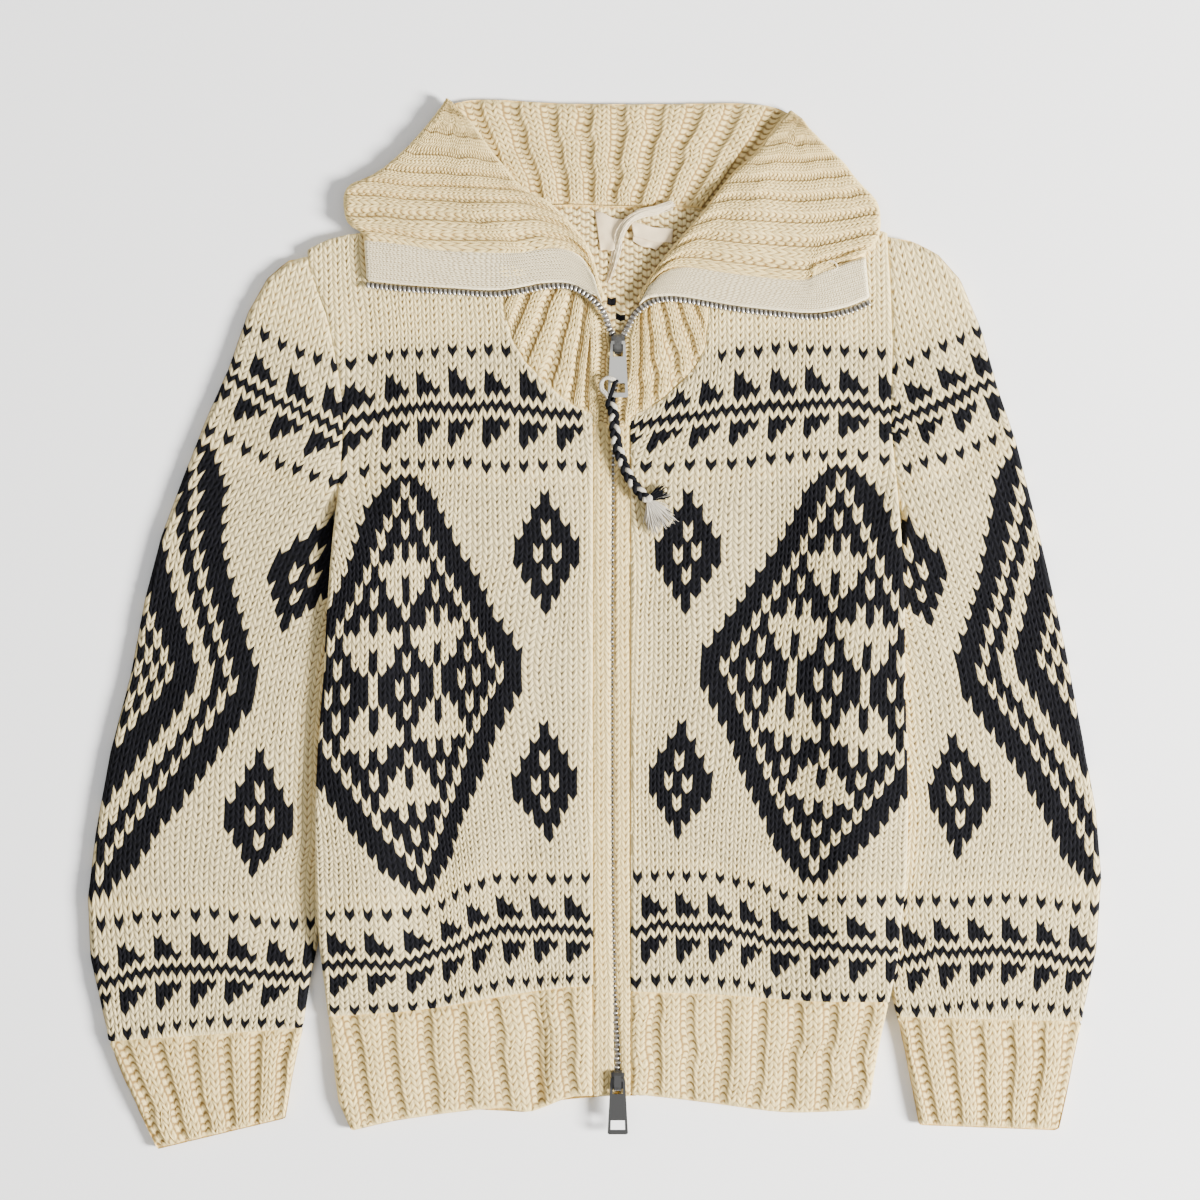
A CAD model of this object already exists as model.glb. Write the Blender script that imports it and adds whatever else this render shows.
"""Chunky knitted zip cardigan laid flat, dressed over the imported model.

Lengths in the tables are millimetres, or pixels of the reference photo where a table says so.
+X is to the right of the picture, +Y runs towards the collar and +Z is up off the table.
"""

import math
from collections import namedtuple
import bmesh
import bpy
import numpy as np
from bpy.props import FloatProperty, FloatVectorProperty, IntProperty, PointerProperty
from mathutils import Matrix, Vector
from mathutils.bvhtree import BVHTree


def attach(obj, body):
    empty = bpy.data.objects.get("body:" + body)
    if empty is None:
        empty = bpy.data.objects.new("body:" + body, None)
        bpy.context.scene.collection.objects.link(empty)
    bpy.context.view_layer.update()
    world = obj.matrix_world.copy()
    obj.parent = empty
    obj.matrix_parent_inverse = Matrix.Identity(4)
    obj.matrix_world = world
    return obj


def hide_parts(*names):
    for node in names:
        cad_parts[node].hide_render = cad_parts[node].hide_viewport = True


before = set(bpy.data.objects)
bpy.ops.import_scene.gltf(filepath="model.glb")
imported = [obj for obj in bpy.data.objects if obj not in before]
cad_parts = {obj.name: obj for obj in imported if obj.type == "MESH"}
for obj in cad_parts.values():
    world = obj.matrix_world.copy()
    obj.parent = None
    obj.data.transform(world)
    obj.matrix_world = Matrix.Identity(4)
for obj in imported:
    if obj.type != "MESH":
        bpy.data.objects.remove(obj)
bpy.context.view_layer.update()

bl_info = {
    "name": "Knitted Zip Cardigan",
    "version": (1, 0, 0),
    "blender": (4, 5, 0),
    "location": "View3D > Sidebar > Cardigan",
    "description": "Knits the cardigan's panels, ribs, collar, zip and cord over its packed model",
    "category": "Object",
}

MM = 0.001
PIXEL = 0.75            # millimetres to a pixel of the 1200 x 1200 reference photo
PHOTO_X = 612.0         # the frame's origin in the photo, in its pixels
PHOTO_Y = 625.0

# --- the knitting chart -------------------------------------------------------------------
# Columns are counted from the big diamond's middle, rows from the upper row of dots down.

BAND_TOPS = (0, 70)     # first row of each patterned band
DIAMOND_TOP = 17
DIAMOND_LOW = 66
SMALL_TOPS = (18, 49)
SMALL_WIDTHS = (0, 0, 1, 1, 2, 2, 3, 3, 3, 3, 2, 2, 1, 1, 0, 0)

Chart = namedtuple("Chart", "tall upper_dots lower_dots small heart")


def band(c, t, first, tall, odd):
    """Dots, triangles, a stripe, hanging triangles and dots: black where True."""
    r = t - first
    step = (c - tall) % 4
    dots = ((r == 0) | (r == 14)) & (c % 2 == odd)
    standing = (r >= 3 + step) & (r <= 5) & (step < 3)
    hanging = (r >= 9) & (r <= 11 - step) & (step < 3)
    return dots | standing | hanging | (r == 7)


def small_diamond(c, t, middle, first):
    """A small black diamond with four pale dots."""
    r = t - first
    widths = np.array(SMALL_WIDTHS)
    inside = (r >= 0) & (r < len(SMALL_WIDTHS))
    half = widths[np.clip(r, 0, len(SMALL_WIDTHS) - 1)]
    u = np.abs(c - middle)
    pale = (u == 0) & (((r >= 4) & (r <= 5)) | ((r >= 10) & (r <= 11)))
    pale |= (u == 1) & (r >= 7) & (r <= 8)
    return inside & (u <= half) & ~pale


def flower_heart(u, t):
    """Pale tulips and dots inside the big diamond of a body panel, mirrored at its middle."""
    down = np.minimum(t, DIAMOND_TOP + DIAMOND_LOW - t)
    pale = np.zeros(u.shape, bool)
    for first_row, first_column in ((22, 0), (30, 4)):
        q = (down - first_row) % 16
        a = np.abs((u - first_column + 4) % 8 - 4)
        pale |= (q <= 1) & (a == 0)
        pale |= (q >= 3) & (q <= 4) & (a == 1)
        pale |= (q >= 5) & (q <= 6) & (a <= 3)
        pale |= (q >= 7) & (q <= 9) & (a == 1)
        pale |= (q >= 7) & (q <= 8) & (a == 2)
        pale |= (q >= 10) & (q <= 11) & (a == 0)
    return pale


def lattice_heart(u, t, line):
    """A pale two-stitch line and dotted lines inside the big diamond of a sleeve."""
    early = np.minimum((t + 1 - DIAMOND_TOP) // 2, (DIAMOND_LOW + 1 - t) // 2)
    pale = (u >= early - 4) & (u <= early - 3) & (early >= 3)
    pale |= (line >= 8) & ((u == line - 8) | (u == line - 10) | (u == line - 12))
    return pale


def black_at(c, t, chart):
    """True where the stitch in column c and row t is knitted in black wool."""
    c = c.astype(int)
    t = t.astype(int)
    black = band(c, t, BAND_TOPS[0], chart.tall, chart.upper_dots)
    black |= band(c, t, BAND_TOPS[1], chart.tall, chart.lower_dots)
    u = np.abs(c)
    line = np.minimum((t - DIAMOND_TOP) // 2, (DIAMOND_LOW - t) // 2)
    edge = np.where(line >= 12, 14, line + 3)
    edge = np.where((t == DIAMOND_TOP) | (t == DIAMOND_LOW), 2, edge)
    edge = np.where((t == DIAMOND_TOP - 1) | (t == DIAMOND_LOW + 1), 1, edge)
    inside = (t >= DIAMOND_TOP - 1) & (t <= DIAMOND_LOW + 1) & (u <= edge)
    pale = (u == line) & (t >= DIAMOND_TOP) & (t <= DIAMOND_LOW)
    within = (u < line) & inside
    if chart.heart == "flower":
        pale |= within & flower_heart(u, t)
    else:
        pale |= within & lattice_heart(u, t, line)
    black |= inside & ~pale
    for middle in chart.small:
        for first in SMALL_TOPS:
            black |= small_diamond(c, t, middle, first)
    return black


def carried_at(c, t):
    """From 0 to 1: how much the black wool carried behind greys a cream stitch."""
    rows = np.zeros(c.shape)
    for first in BAND_TOPS:
        rows = np.maximum(rows, step_up(first - 4, first + 1, t)
                          * (1 - step_up(first + 13.5, first + 18, t)))
    middle = step_up(DIAMOND_TOP - 2, DIAMOND_TOP, t) * (1 - step_up(DIAMOND_LOW + 1, DIAMOND_LOW + 3, t))
    middle = middle * (1 - step_up(17.5, 22.5, np.abs(c)))
    return 0.85 * np.maximum(rows, middle)


# --- where the chart lies on each panel, in pixels of the reference photo ---------------------
# These are places of stitches in the photo. How they were measured is told in the report.

Spread = namedtuple("Spread", "row columns places")     # x of some columns along a row
Course = namedtuple("Course", "row xs ys")              # a row's run across the panel
Line = namedtuple("Line", "row columns xs ys")          # both together

FRONT_LEFT_SPREAD = [
    Spread(-17, (-6, 0, 6, 12, 18), (345, 398, 446, 500, 552)),
    Spread(0, (-6, -4, -2, 0, 2, 4, 6, 8, 10, 12),
           (351, 373, 390, 405, 419, 435, 453, 471, 489, 506)),
    Spread(14, (-6, -4, -2, 0, 2, 4, 6, 8, 10, 12, 14, 16, 18, 20),
           (341, 365, 386, 406, 422, 436, 451, 468, 486, 505, 523.5, 543.5, 562, 581.6)),
    Spread(25.5, (-9, -7.5, -4, 0, 4, 7.5, 12.5, 16, 19.5),
           (338, 349, 376.5, 406.5, 433.3, 460.6, 514, 547, 580)),
    Spread(33.5, (-9, -8, -5, -3, 0, 3, 5, 8, 11.5, 16, 20),
           (333, 341, 365.4, 382.9, 407, 430.5, 444.2, 466.3, 493, 546, 582)),
    Spread(41.5, (-9, -7, -4, -1, 1, 4, 7, 9, 12, 14.5, 16, 19.5),
           (330, 346.7, 375.4, 400.4, 415.3, 437.6, 461.2, 476.4, 499.3, 521, 539, 578)),
    Spread(49.5, (-9, -8, -5, -3, 0, 3, 5, 8, 11.5, 16, 19.5),
           (329, 337.2, 365.4, 383.7, 408.5, 431.9, 447.1, 470.1, 496, 544, 578)),
    Spread(57.5, (-9.5, -7.5, -4, -1, 1, 4, 7.5, 12.5, 16, 19.5),
           (332, 349, 378, 404.7, 421.3, 445, 470, 513, 545.5, 577)),
    Spread(70, (-10, -8, -6, -4, -2, 0, 2, 4, 6, 8, 10, 12, 14, 16, 18, 20),
           (332, 351, 369, 387, 408, 427, 442, 455.5, 467.5, 481, 498, 515, 533, 551.5, 568, 586)),
    Spread(84, (-10, -4, -2, 0, 2, 4, 6, 8, 10, 14, 18, 20),
           (335, 393, 413, 432, 449, 463, 479, 494, 512, 540, 570, 586)),
]
FRONT_LEFT_COURSE = [
    Course(-17, (345, 405, 490, 590), (240, 232, 228, 226)),
    Course(0, (351, 373, 405, 453, 489, 590), (363, 358, 354, 351, 350, 356)),
    Course(7, (346, 402, 443, 484, 524, 565, 590), (422, 409, 406.5, 406.5, 408, 413, 415)),
    Course(14, (341, 365, 386, 406, 436, 590), (476, 471, 467, 464, 464, 466)),
    Course(25.5, (330, 376, 406, 433, 547, 590), (573, 557.5, 553, 550.3, 552, 552)),
    Course(33.5, (341, 383, 407, 437, 466, 546, 590), (627, 623, 620, 616.5, 611.5, 611, 611)),
    Course(41.5, (330, 347, 400, 415, 461, 499, 546, 590),
           (699.5, 695, 688.5, 684, 676.5, 672, 670, 669)),
    Course(49.5, (329, 337, 365, 384, 409, 447, 470, 546, 590),
           (763, 762, 757, 753.5, 748, 744, 739.6, 729, 728)),
    Course(57.5, (330, 378, 405, 421, 446, 545, 590), (829, 820, 812.5, 809.5, 806.5, 790, 789)),
    Course(65.5, (335, 390, 423, 445, 467, 500, 590), (878, 876, 873, 866, 853, 846, 845)),
    Course(70, (332, 411, 428, 443, 456, 467, 480, 498, 590),
           (913, 911, 909, 902, 893, 886, 882, 879, 878)),
    Course(77, (324, 396, 416, 435, 454, 473, 492, 511, 569, 592),
           (964, 964, 960, 954, 946, 937, 931, 928, 929.5, 934)),
    Course(84, (338, 413, 433, 450, 464, 480, 495, 513, 530, 590),
           (1009, 1006, 1003, 998, 992, 989, 984, 982, 980, 978)),
]
FRONT_RIGHT_SPREAD = [
    Spread(-17, (-16, -8, 0, 4), (700, 772, 842, 880)),
    Spread(0, (-16, -14, -12, -10, -8, -6, -4, -2, 0, 2, 4),
           (707, 721.5, 740, 757.7, 776, 793.5, 809.4, 826.6, 844, 863.4, 882)),
    Spread(14, (-20, -18, -16, -14, -12, -10, -8, -6, -4, -2, 0, 2, 4),
           (646, 669, 690, 711, 731.5, 751, 771.5, 790, 806.5, 823, 841.5, 863, 884)),
    Spread(25.5, (-22, -16, -12.5, -7.5, -4, 0, 4, 8),
           (632, 687, 721, 777, 803.1, 836, 871, 905)),
    Spread(33.5, (-22, -16, -11.5, -8, -5, -3, 0, 3, 5, 8),
           (631, 685, 736.3, 766.3, 790.5, 805.9, 831.5, 859.3, 876.6, 901)),
    Spread(41.5, (-22, -16, -14.5, -12, -9, -7, -4, -1, 1, 4, 7, 8),
           (630, 686, 701, 724.5, 749.8, 765.8, 791.5, 816.8, 835.9, 863, 890, 898)),
    Spread(49.5, (-22, -16, -11.5, -8, -5, -3, 0, 3, 5, 8),
           (628, 681, 727, 754, 778.4, 795.2, 823.3, 851.4, 871, 898)),
    Spread(57.5, (-22, -16, -12.5, -7.5, -4, -1, 1, 4, 8),
           (629, 676.5, 711, 752, 779.8, 807.5, 826.5, 855.6, 892)),
    Spread(70, (-21, -19, -17, -15, -13, -11, -9, -7, -5, -3, -1, 1, 3, 5, 7, 9),
           (637, 655, 671, 686.6, 703, 720, 736, 751, 766.4, 783, 801.7, 821.8, 840.4, 859.7,
            879.8, 899)),
    Spread(84, (-21, -19, -17, -15, -13, -11, -9, -7, -5, -3, -1, 1, 3, 5, 7),
           (636, 656, 672, 689, 705, 721, 737, 752, 766.4, 785, 805.6, 825.7, 844, 862, 879.6)),
]
FRONT_RIGHT_COURSE = [
    Course(-17, (634, 780, 890), (226, 222, 232)),
    Course(0, (634, 707, 721, 740, 776, 844, 863, 882, 900),
           (372, 359, 354, 350.6, 347.5, 349, 352.5, 354.4, 357)),
    Course(7, (639, 658, 696, 735, 773, 811, 850, 869, 888),
           (424, 419.5, 415, 410, 406, 404, 403.6, 407, 413.7)),
    Course(14, (646, 690, 732, 771, 806, 841, 863, 884),
           (467, 465, 462.5, 459.7, 456, 454, 456, 458)),
    Course(25.5, (632, 687, 779, 803, 836, 871, 900), (556, 553.5, 546, 544.4, 545.5, 549.2, 553)),
    Course(33.5, (632, 700, 766, 798, 831, 868, 901), (615, 610, 604.5, 607.5, 611, 615, 617)),
    Course(41.5, (632, 700, 724, 766, 826, 864, 890, 903),
           (668, 666, 665.6, 671, 679.5, 686.5, 689.5, 690)),
    Course(49.5, (632, 690, 754, 787, 823, 851, 871, 898), (727, 729, 737, 742, 749, 755, 758, 758)),
    Course(57.5, (632, 676, 780, 809, 829, 856, 903), (788, 789, 799, 804.5, 808, 814, 816)),
    Course(65.5, (637, 690, 760, 795, 813, 840, 899), (841, 843, 852, 860, 862, 862, 864)),
    Course(70, (637, 687, 720, 736, 751, 766, 783, 802, 822, 899),
           (875, 876, 877.5, 881, 884, 888, 894, 898, 898, 898)),
    Course(77, (639, 658, 716, 735, 754, 773, 792, 830, 888),
           (930, 925, 926.6, 930.4, 935, 941, 942, 945, 948)),
    Course(84, (636, 656, 705, 737, 752, 766, 785, 806, 880),
           (981, 979, 978.5, 982, 986, 990, 993.6, 995, 996)),
]
SLEEVE_LEFT_LINES = [
    Line(-12, (-2, 0, 8, 12), (254, 272, 344, 380), (222, 230, 262, 280)),
    Line(0, (0, 10, 12), (247, 335, 352), (328, 367, 375)),
    Line(7, (0, 12), (231, 340), (378, 430)),
    Line(14, (0, 2, 4, 6, 8, 10, 12, 14),
         (209.5, 228, 246, 263.6, 279.6, 297, 314, 333.6),
         (432.5, 439.6, 448.6, 456.6, 463.8, 470, 475.4, 480.7)),
    Line(25.5, (-1, 0, 4, 7.5, 12.5, 16, 19), (154, 162.5, 196.4, 225, 272, 305, 331),
         (524, 527, 538.2, 549, 565, 576, 584)),
    Line(34.5, (0, 1, 8.5, 12, 22), (144, 152, 215, 245, 335), (612, 613.5, 621.5, 629, 648)),
    Line(41.5, (-1, 0, 2, 4, 12, 14.5, 22), (130.5, 138.5, 154, 169.4, 232.5, 256, 322),
         (666, 667, 669, 671, 684.8, 690, 700)),
    Line(49.5, (0, 8, 11.5, 22), (120.2, 186.7, 217, 318), (735, 749.3, 755, 764)),
    Line(57.5, (0, 4, 7.5, 16, 22), (106, 140.7, 171, 261, 316), (804, 810, 815, 826, 831)),
    Line(65.5, (0, 4, 12, 22), (99.7, 135, 214, 310), (872.4, 874, 879, 887)),
    Line(70, (0, 2, 4, 6, 8, 10, 12, 14, 16, 18, 20, 22),
         (101.5, 120, 138.7, 157.6, 176, 196, 215.5, 234.3, 255.7, 275.8, 294, 311),
         (924.3, 923.5, 918, 916.3, 914, 913, 914, 917, 919.5, 922.7, 922.7, 923.5)),
    Line(77, (0, 2, 4, 6, 8, 10, 12, 14, 16, 18, 20, 22),
         (106, 123.5, 141.5, 159.5, 177, 195, 213, 231, 250, 269, 287, 305),
         (982, 978.5, 974, 970.5, 969, 968, 968, 969, 971, 973.5, 976, 977)),
    Line(84, (0, 2, 4, 6, 8, 10, 12, 14, 16, 18, 20, 22),
         (111, 127.4, 144.6, 161.6, 177.6, 193.5, 210.7, 228, 245, 262, 279.8, 299),
         (1036, 1032.7, 1030.3, 1026.8, 1024.7, 1022.7, 1020.7, 1021, 1021, 1022, 1023, 1024)),
]
SLEEVE_RIGHT_LINES = [
    Line(-12, (-13, -9, -1, 1), (850, 884, 950, 967), (268, 256, 226, 218)),
    Line(0, (-9, -7, -5, -3, -1), (910, 926, 943, 960, 977.3), (360.5, 352.5, 345.6, 337.5, 331)),
    Line(14, (-13, -11, -9, -7, -5, -3, -1),
         (906.7, 924.5, 941.7, 959, 976.7, 992.8, 1010.6),
         (466, 462, 457.5, 451, 445, 439, 433.4)),
    Line(25.5, (-18, -16, -12.5, -7.5, -4, 0), (899, 915, 943, 984, 1013.4, 1045),
         (581, 575, 562, 543, 531, 523)),
    Line(35.5, (-19, -12.5, -9, -1, 0), (905, 966, 994.3, 1053, 1060.4),
         (643, 625, 617.6, 604.4, 603)),
    Line(41.5, (-20, -14.5, -12, -4, -2, 0), (907, 959, 981.1, 1041.3, 1056.6, 1072),
         (690, 677, 673.4, 658.7, 655.5, 652)),
    Line(49.5, (-21, -11.5, -8, 0), (905, 995, 1024.3, 1084), (748, 738, 733.6, 722)),
    Line(57.5, (-22, -16, -7.5, -4, 0), (908, 960, 1035.4, 1064.8, 1095), (806, 803, 799, 796.7, 791)),
    Line(65.5, (-22, -12, -4, -1, 0), (905, 990, 1062, 1089, 1098), (865, 864, 864, 863, 862)),
    Line(70, (-22, -20, -18, -16, -14, -12, -10, -8, -6, -4, -2, 0),
         (903, 919.5, 935.5, 953.5, 971, 987, 1006, 1022, 1040.7, 1058, 1075.4, 1094),
         (902, 901, 899, 901, 900, 899, 898.5, 899, 902, 903, 905, 908)),
    Line(77, (-22, -18, -14, -10, -6, -2, 0),
         (908, 939, 972, 1005, 1039, 1071, 1089), (958, 951, 950, 951, 955, 959, 961)),
    Line(84, (-24, -22, -20, -18, -16, -14, -12, -10, -8, -6, -4, -2, 0),
         (899, 915.6, 932, 946.7, 960, 974.3, 989, 1004, 1019, 1034.4, 1050.7, 1066.7, 1083),
         (1009, 1010, 1008, 1005, 1005, 1003, 1004, 1002, 1003, 1005, 1006.4, 1011, 1012.4)),
]


def read_straight(keys, values, at):
    """Read a table straight between its keys, and on at the same slope beyond them."""
    keys = np.asarray(keys, float)
    values = np.asarray(values, float)
    at = np.asarray(at, float)
    i = np.clip(np.searchsorted(keys, at) - 1, 0, len(keys) - 2)
    slope = (values[i + 1] - values[i]) / (keys[i + 1] - keys[i])
    return values[i] + slope * (at - keys[i])


def blend_rows(rows, layers, t):
    """Smooth curve through layers, one array for each row number, read at t."""
    rows = np.asarray(rows, float)
    layers = np.asarray(layers)
    i = np.clip(np.searchsorted(rows, t) - 1, 0, len(rows) - 2)
    pick = np.arange(t.size)
    flat = layers.reshape(len(rows), -1)
    t = t.ravel()
    i = i.ravel()

    def slope(k):
        a = np.maximum(k - 1, 0)
        b = np.minimum(k + 1, len(rows) - 1)
        return (flat[b, pick] - flat[a, pick]) / (rows[b] - rows[a])

    span = rows[i + 1] - rows[i]
    u = (t - rows[i]) / span
    start = flat[i, pick]
    rise = flat[i + 1, pick] - start
    s0 = slope(i) * span
    s1 = slope(i + 1) * span
    inner = start + u * s0 + u * u * (3 * rise - 2 * s0 - s1) + u ** 3 * (s0 + s1 - 2 * rise)
    before = start + u * s0
    after = start + rise + (u - 1) * s1
    return np.where(u < 0, before, np.where(u > 1, after, inner))


def photo_to_frame(x, y):
    return (x - PHOTO_X) * PIXEL, (PHOTO_Y - y) * PIXEL


def front_places(spreads, courses):
    """Columns and rows of a front panel to its place in the frame, in millimetres."""
    def place(c, t):
        shape = c.shape
        xs = [read_straight(s.columns, s.places, c) for s in spreads]
        x = blend_rows([s.row for s in spreads], xs, t)
        ys = [read_straight(k.xs, k.ys, x.reshape(shape)) for k in courses]
        y = blend_rows([k.row for k in courses], ys, t)
        px, py = photo_to_frame(x, y)
        return px.reshape(shape), py.reshape(shape)
    return place


def sleeve_places(lines):
    def place(c, t):
        shape = c.shape
        rows = [k.row for k in lines]
        x = blend_rows(rows, [read_straight(k.columns, k.xs, c) for k in lines], t)
        y = blend_rows(rows, [read_straight(k.columns, k.ys, c) for k in lines], t)
        px, py = photo_to_frame(x, y)
        return px.reshape(shape), py.reshape(shape)
    return place


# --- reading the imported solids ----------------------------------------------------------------

def solid_of(node):
    """Points in millimetres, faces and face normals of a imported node."""
    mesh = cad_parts[node].data
    points = np.empty(len(mesh.vertices) * 3)
    mesh.vertices.foreach_get("co", points)
    points = points.reshape(-1, 3) / MM
    _, first, welded = np.unique(np.round(points, 2), axis=0, return_index=True,
                                 return_inverse=True)
    welded = welded.reshape(-1)
    faces = [tuple(int(welded[v]) for v in p.vertices) for p in mesh.polygons]
    normals = np.empty(len(mesh.polygons) * 3)
    mesh.polygons.foreach_get("normal", normals)
    return points[first], faces, normals.reshape(-1, 3)


def loop_area(loop):
    x, y = loop[:, 0], loop[:, 1]
    return 0.5 * float(np.sum(x * np.roll(y, -1) - np.roll(x, -1) * y))


def outline_of(node, side=1.0):
    """Closed edge line of a node's upper face, or of its lower face with side -1."""
    points, faces, normals = solid_of(node)
    after = {}
    seen = set()
    for face, normal in zip(faces, normals):
        if normal[2] * side > 0.12:
            for a, b in zip(face, face[1:] + face[:1]):
                seen.add((a, b))
    for a, b in seen:
        if (b, a) not in seen:
            after.setdefault(a, []).append(b)
    best = None
    while after:
        start = next(iter(after))
        loop = [start]
        here = start
        while here in after:
            here_next = after[here].pop()
            if not after[here]:
                del after[here]
            here = here_next
            if here == start:
                break
            loop.append(here)
        line = points[loop][:, :2]
        if best is None or abs(loop_area(line)) > abs(loop_area(best)):
            best = line
    return best


def depth_inside(line, x, y):
    """How far each point lies inside a closed line, and the line's nearest point."""
    shape = x.shape
    px = x.ravel()
    py = y.ravel()
    ax, ay = line[:, 0], line[:, 1]
    bx, by = np.roll(ax, -1), np.roll(ay, -1)
    dx, dy = bx - ax, by - ay
    length2 = np.maximum(dx * dx + dy * dy, 1e-9)
    depth = np.empty(px.size)
    near = np.empty((px.size, 2))
    for first in range(0, px.size, 12000):
        cut = slice(first, first + 12000)
        qx = px[cut, None]
        qy = py[cut, None]
        u = np.clip(((qx - ax) * dx + (qy - ay) * dy) / length2, 0, 1)
        nx = ax + u * dx
        ny = ay + u * dy
        away2 = (qx - nx) ** 2 + (qy - ny) ** 2
        pick = away2.argmin(axis=1)
        rows = np.arange(len(pick))
        crosses = (ay > qy) != (by > qy)
        safe = np.where(np.abs(dy) < 1e-9, 1e-9, dy)
        left = qx < ax + (qy - ay) * dx / safe
        inside = (np.sum(crosses & left, axis=1) % 2) == 1
        depth[cut] = np.sqrt(away2[rows, pick]) * np.where(inside, 1, -1)
        near[cut, 0] = nx[rows, pick]
        near[cut, 1] = ny[rows, pick]
    return depth.reshape(shape), near.reshape(shape + (2,))


def blur(field, times):
    for _ in range(times):
        wide = np.pad(field, 1, mode="edge")
        field = (wide[1:-1, :-2] + wide[1:-1, 2:] + 2 * wide[1:-1, 1:-1]) / 4
        wide = np.pad(field, 1, mode="edge")
        field = (wide[:-2, 1:-1] + wide[2:, 1:-1] + 2 * wide[1:-1, 1:-1]) / 4
    return field


def height_of(node, line, step=4.0, inset=6.0, smooth=2, side=1.0):
    """Height of a node's upper or lower face as a function, run on smoothly past its edge."""
    points, faces, _ = solid_of(node)
    tree = BVHTree.FromPolygons([Vector(p) for p in points], faces)
    x0, y0 = line.min(axis=0) - 3 * step
    x1, y1 = line.max(axis=0) + 3 * step
    xs = np.arange(x0, x1 + step, step)
    ys = np.arange(y0, y1 + step, step)
    gx, gy = np.meshgrid(xs, ys)
    depth, _ = depth_inside(line, gx, gy)
    field = np.full(gx.shape, np.nan)
    start = 200.0 * side
    for i, j in zip(*np.nonzero(depth > inset)):
        hit = tree.ray_cast(Vector((gx[i, j], gy[i, j], start)), Vector((0, 0, -side)))
        if hit[0] is not None:
            field[i, j] = hit[0].z
    while np.isnan(field).any():
        wide = np.pad(field, 1, constant_values=np.nan)
        around = np.stack([wide[:-2, 1:-1], wide[2:, 1:-1], wide[1:-1, :-2], wide[1:-1, 2:],
                           wide[:-2, :-2], wide[2:, 2:], wide[:-2, 2:], wide[2:, :-2]])
        known = (~np.isnan(around)).sum(axis=0)
        total = np.nansum(around, axis=0)
        fill = np.isnan(field) & (known > 0)
        field[fill] = (total / np.maximum(known, 1))[fill]
    field = blur(field, smooth)

    def height(x, y):
        fx = np.clip((x - x0) / step, 0, len(xs) - 1.001)
        fy = np.clip((y - y0) / step, 0, len(ys) - 1.001)
        i = fy.astype(int)
        j = fx.astype(int)
        u = fx - j
        v = fy - i
        return ((field[i, j] * (1 - u) + field[i, j + 1] * u) * (1 - v)
                + (field[i + 1, j] * (1 - u) + field[i + 1, j + 1] * u) * v)
    return height


def soft_noise(x, y, seed):
    """Smooth noise from -1 to 1 over x and y, one value to a unit."""
    table = np.random.default_rng(seed).random((128, 128)) * 2 - 1
    i = np.floor(y).astype(int)
    j = np.floor(x).astype(int)
    u = x - j
    v = y - i
    u = u * u * (3 - 2 * u)
    v = v * v * (3 - 2 * v)

    def pick(a, b):
        return table[a % 128, b % 128]
    return ((pick(i, j) * (1 - u) + pick(i, j + 1) * u) * (1 - v)
            + (pick(i + 1, j) * (1 - u) + pick(i + 1, j + 1) * u) * v)


def stitch_noise(c, r, seed):
    """One random value from -1 to 1 for each stitch."""
    table = np.random.default_rng(seed).random((256, 128)) * 2 - 1
    return table[r.astype(int) % 256, c.astype(int) % 128]


def step_up(low, high, value):
    u = np.clip((value - low) / (high - low), 0, 1)
    return u * u * (3 - 2 * u)


# --- knitted cloth ------------------------------------------------------------------------------

LEAN = 1.76             # rows that a leg of a stitch climbs over a whole stitch width

Weave = namedtuple("Weave", "c shift swell rise purl")


def plain_weave(first, last, across):
    """Sub-columns of plain knitting: columns of V stitches side by side."""
    count = (last - first + 1) * across
    c = first - 0.5 + np.arange(count + 1) / across
    u = np.abs(c - np.round(c))
    swell = np.sin(2 * math.pi * np.clip(u, 0, 0.5)) ** 2
    return Weave(c, -LEAN * u, swell ** 0.28, np.zeros(count + 1), np.zeros(count + 1))


def rib_weave(first, last, knit=2, share=0.6, across=6, purl=3, rise=1.0, sink=1.7):
    """Sub-columns of ribbing: raised V columns, then a sunken band of two purl stitches."""
    c, shift, swell, lift_by, is_purl = [], [], [], [], []
    for n in range(first, last + 1):
        for k in range(knit * across):
            u = (k % across) / across - 0.5
            c.append(n - share / 2 + share * k / (knit * across))
            shift.append(-LEAN * abs(u))
            swell.append(abs(math.sin(2 * math.pi * abs(u))) ** 0.56)
            bulge = math.sin(math.pi * (k + 0.5) / (knit * across)) ** 0.5
            lift_by.append(rise * bulge)
            is_purl.append(0.0)
        for k in range(2 * purl):
            v = k / (2 * purl)
            c.append(n + share / 2 + (1 - share) * v)
            arch = math.sin(math.pi * (k % purl) / purl)
            shift.append(-LEAN * 0.5 - 0.34 * arch)
            swell.append(0.4 + 0.6 * arch if k else 0.0)
            lift_by.append(-sink * math.sin(math.pi * v) ** 0.6 if k else 0.0)
            is_purl.append(0.4 if k == 0 else 1.0 if k < purl else 2.0)
    c.append(last + 1 - share / 2)
    shift.append(-LEAN * 0.5)
    swell.append(0.0)
    lift_by.append(0.0)
    is_purl.append(0.4)
    return Weave(*(np.array(a) for a in (c, shift, swell, lift_by, is_purl)))


def between_legs(weave, share):
    """How far the wool closes the slit beside a leg; it stays open at one pit a stitch."""
    away = 2 * np.minimum(share, 1 - share)
    centre = np.abs(weave.c - np.round(weave.c)) < 0.25
    closed = np.where(centre[None, :], step_up(0.0, 0.6, away),
                      0.5 + 0.5 * step_up(0.0, 0.6, 1 - away))
    return closed * ((1 - weave.swell) * (weave.purl < 0.2))[None, :]


def leg_profile(share):
    """Height along a leg of a stitch: a sharp crease, then a plump rise."""
    return np.interp(share, (0.0, 0.22, 0.45, 0.7, 1.0), (0.0, 0.82, 1.0, 0.86, 0.0))


TABLE = 0.05            # the lowest the cloth may lie over the table
SEAM_EASE = 0.45        # each piece runs this far into its seam


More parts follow.
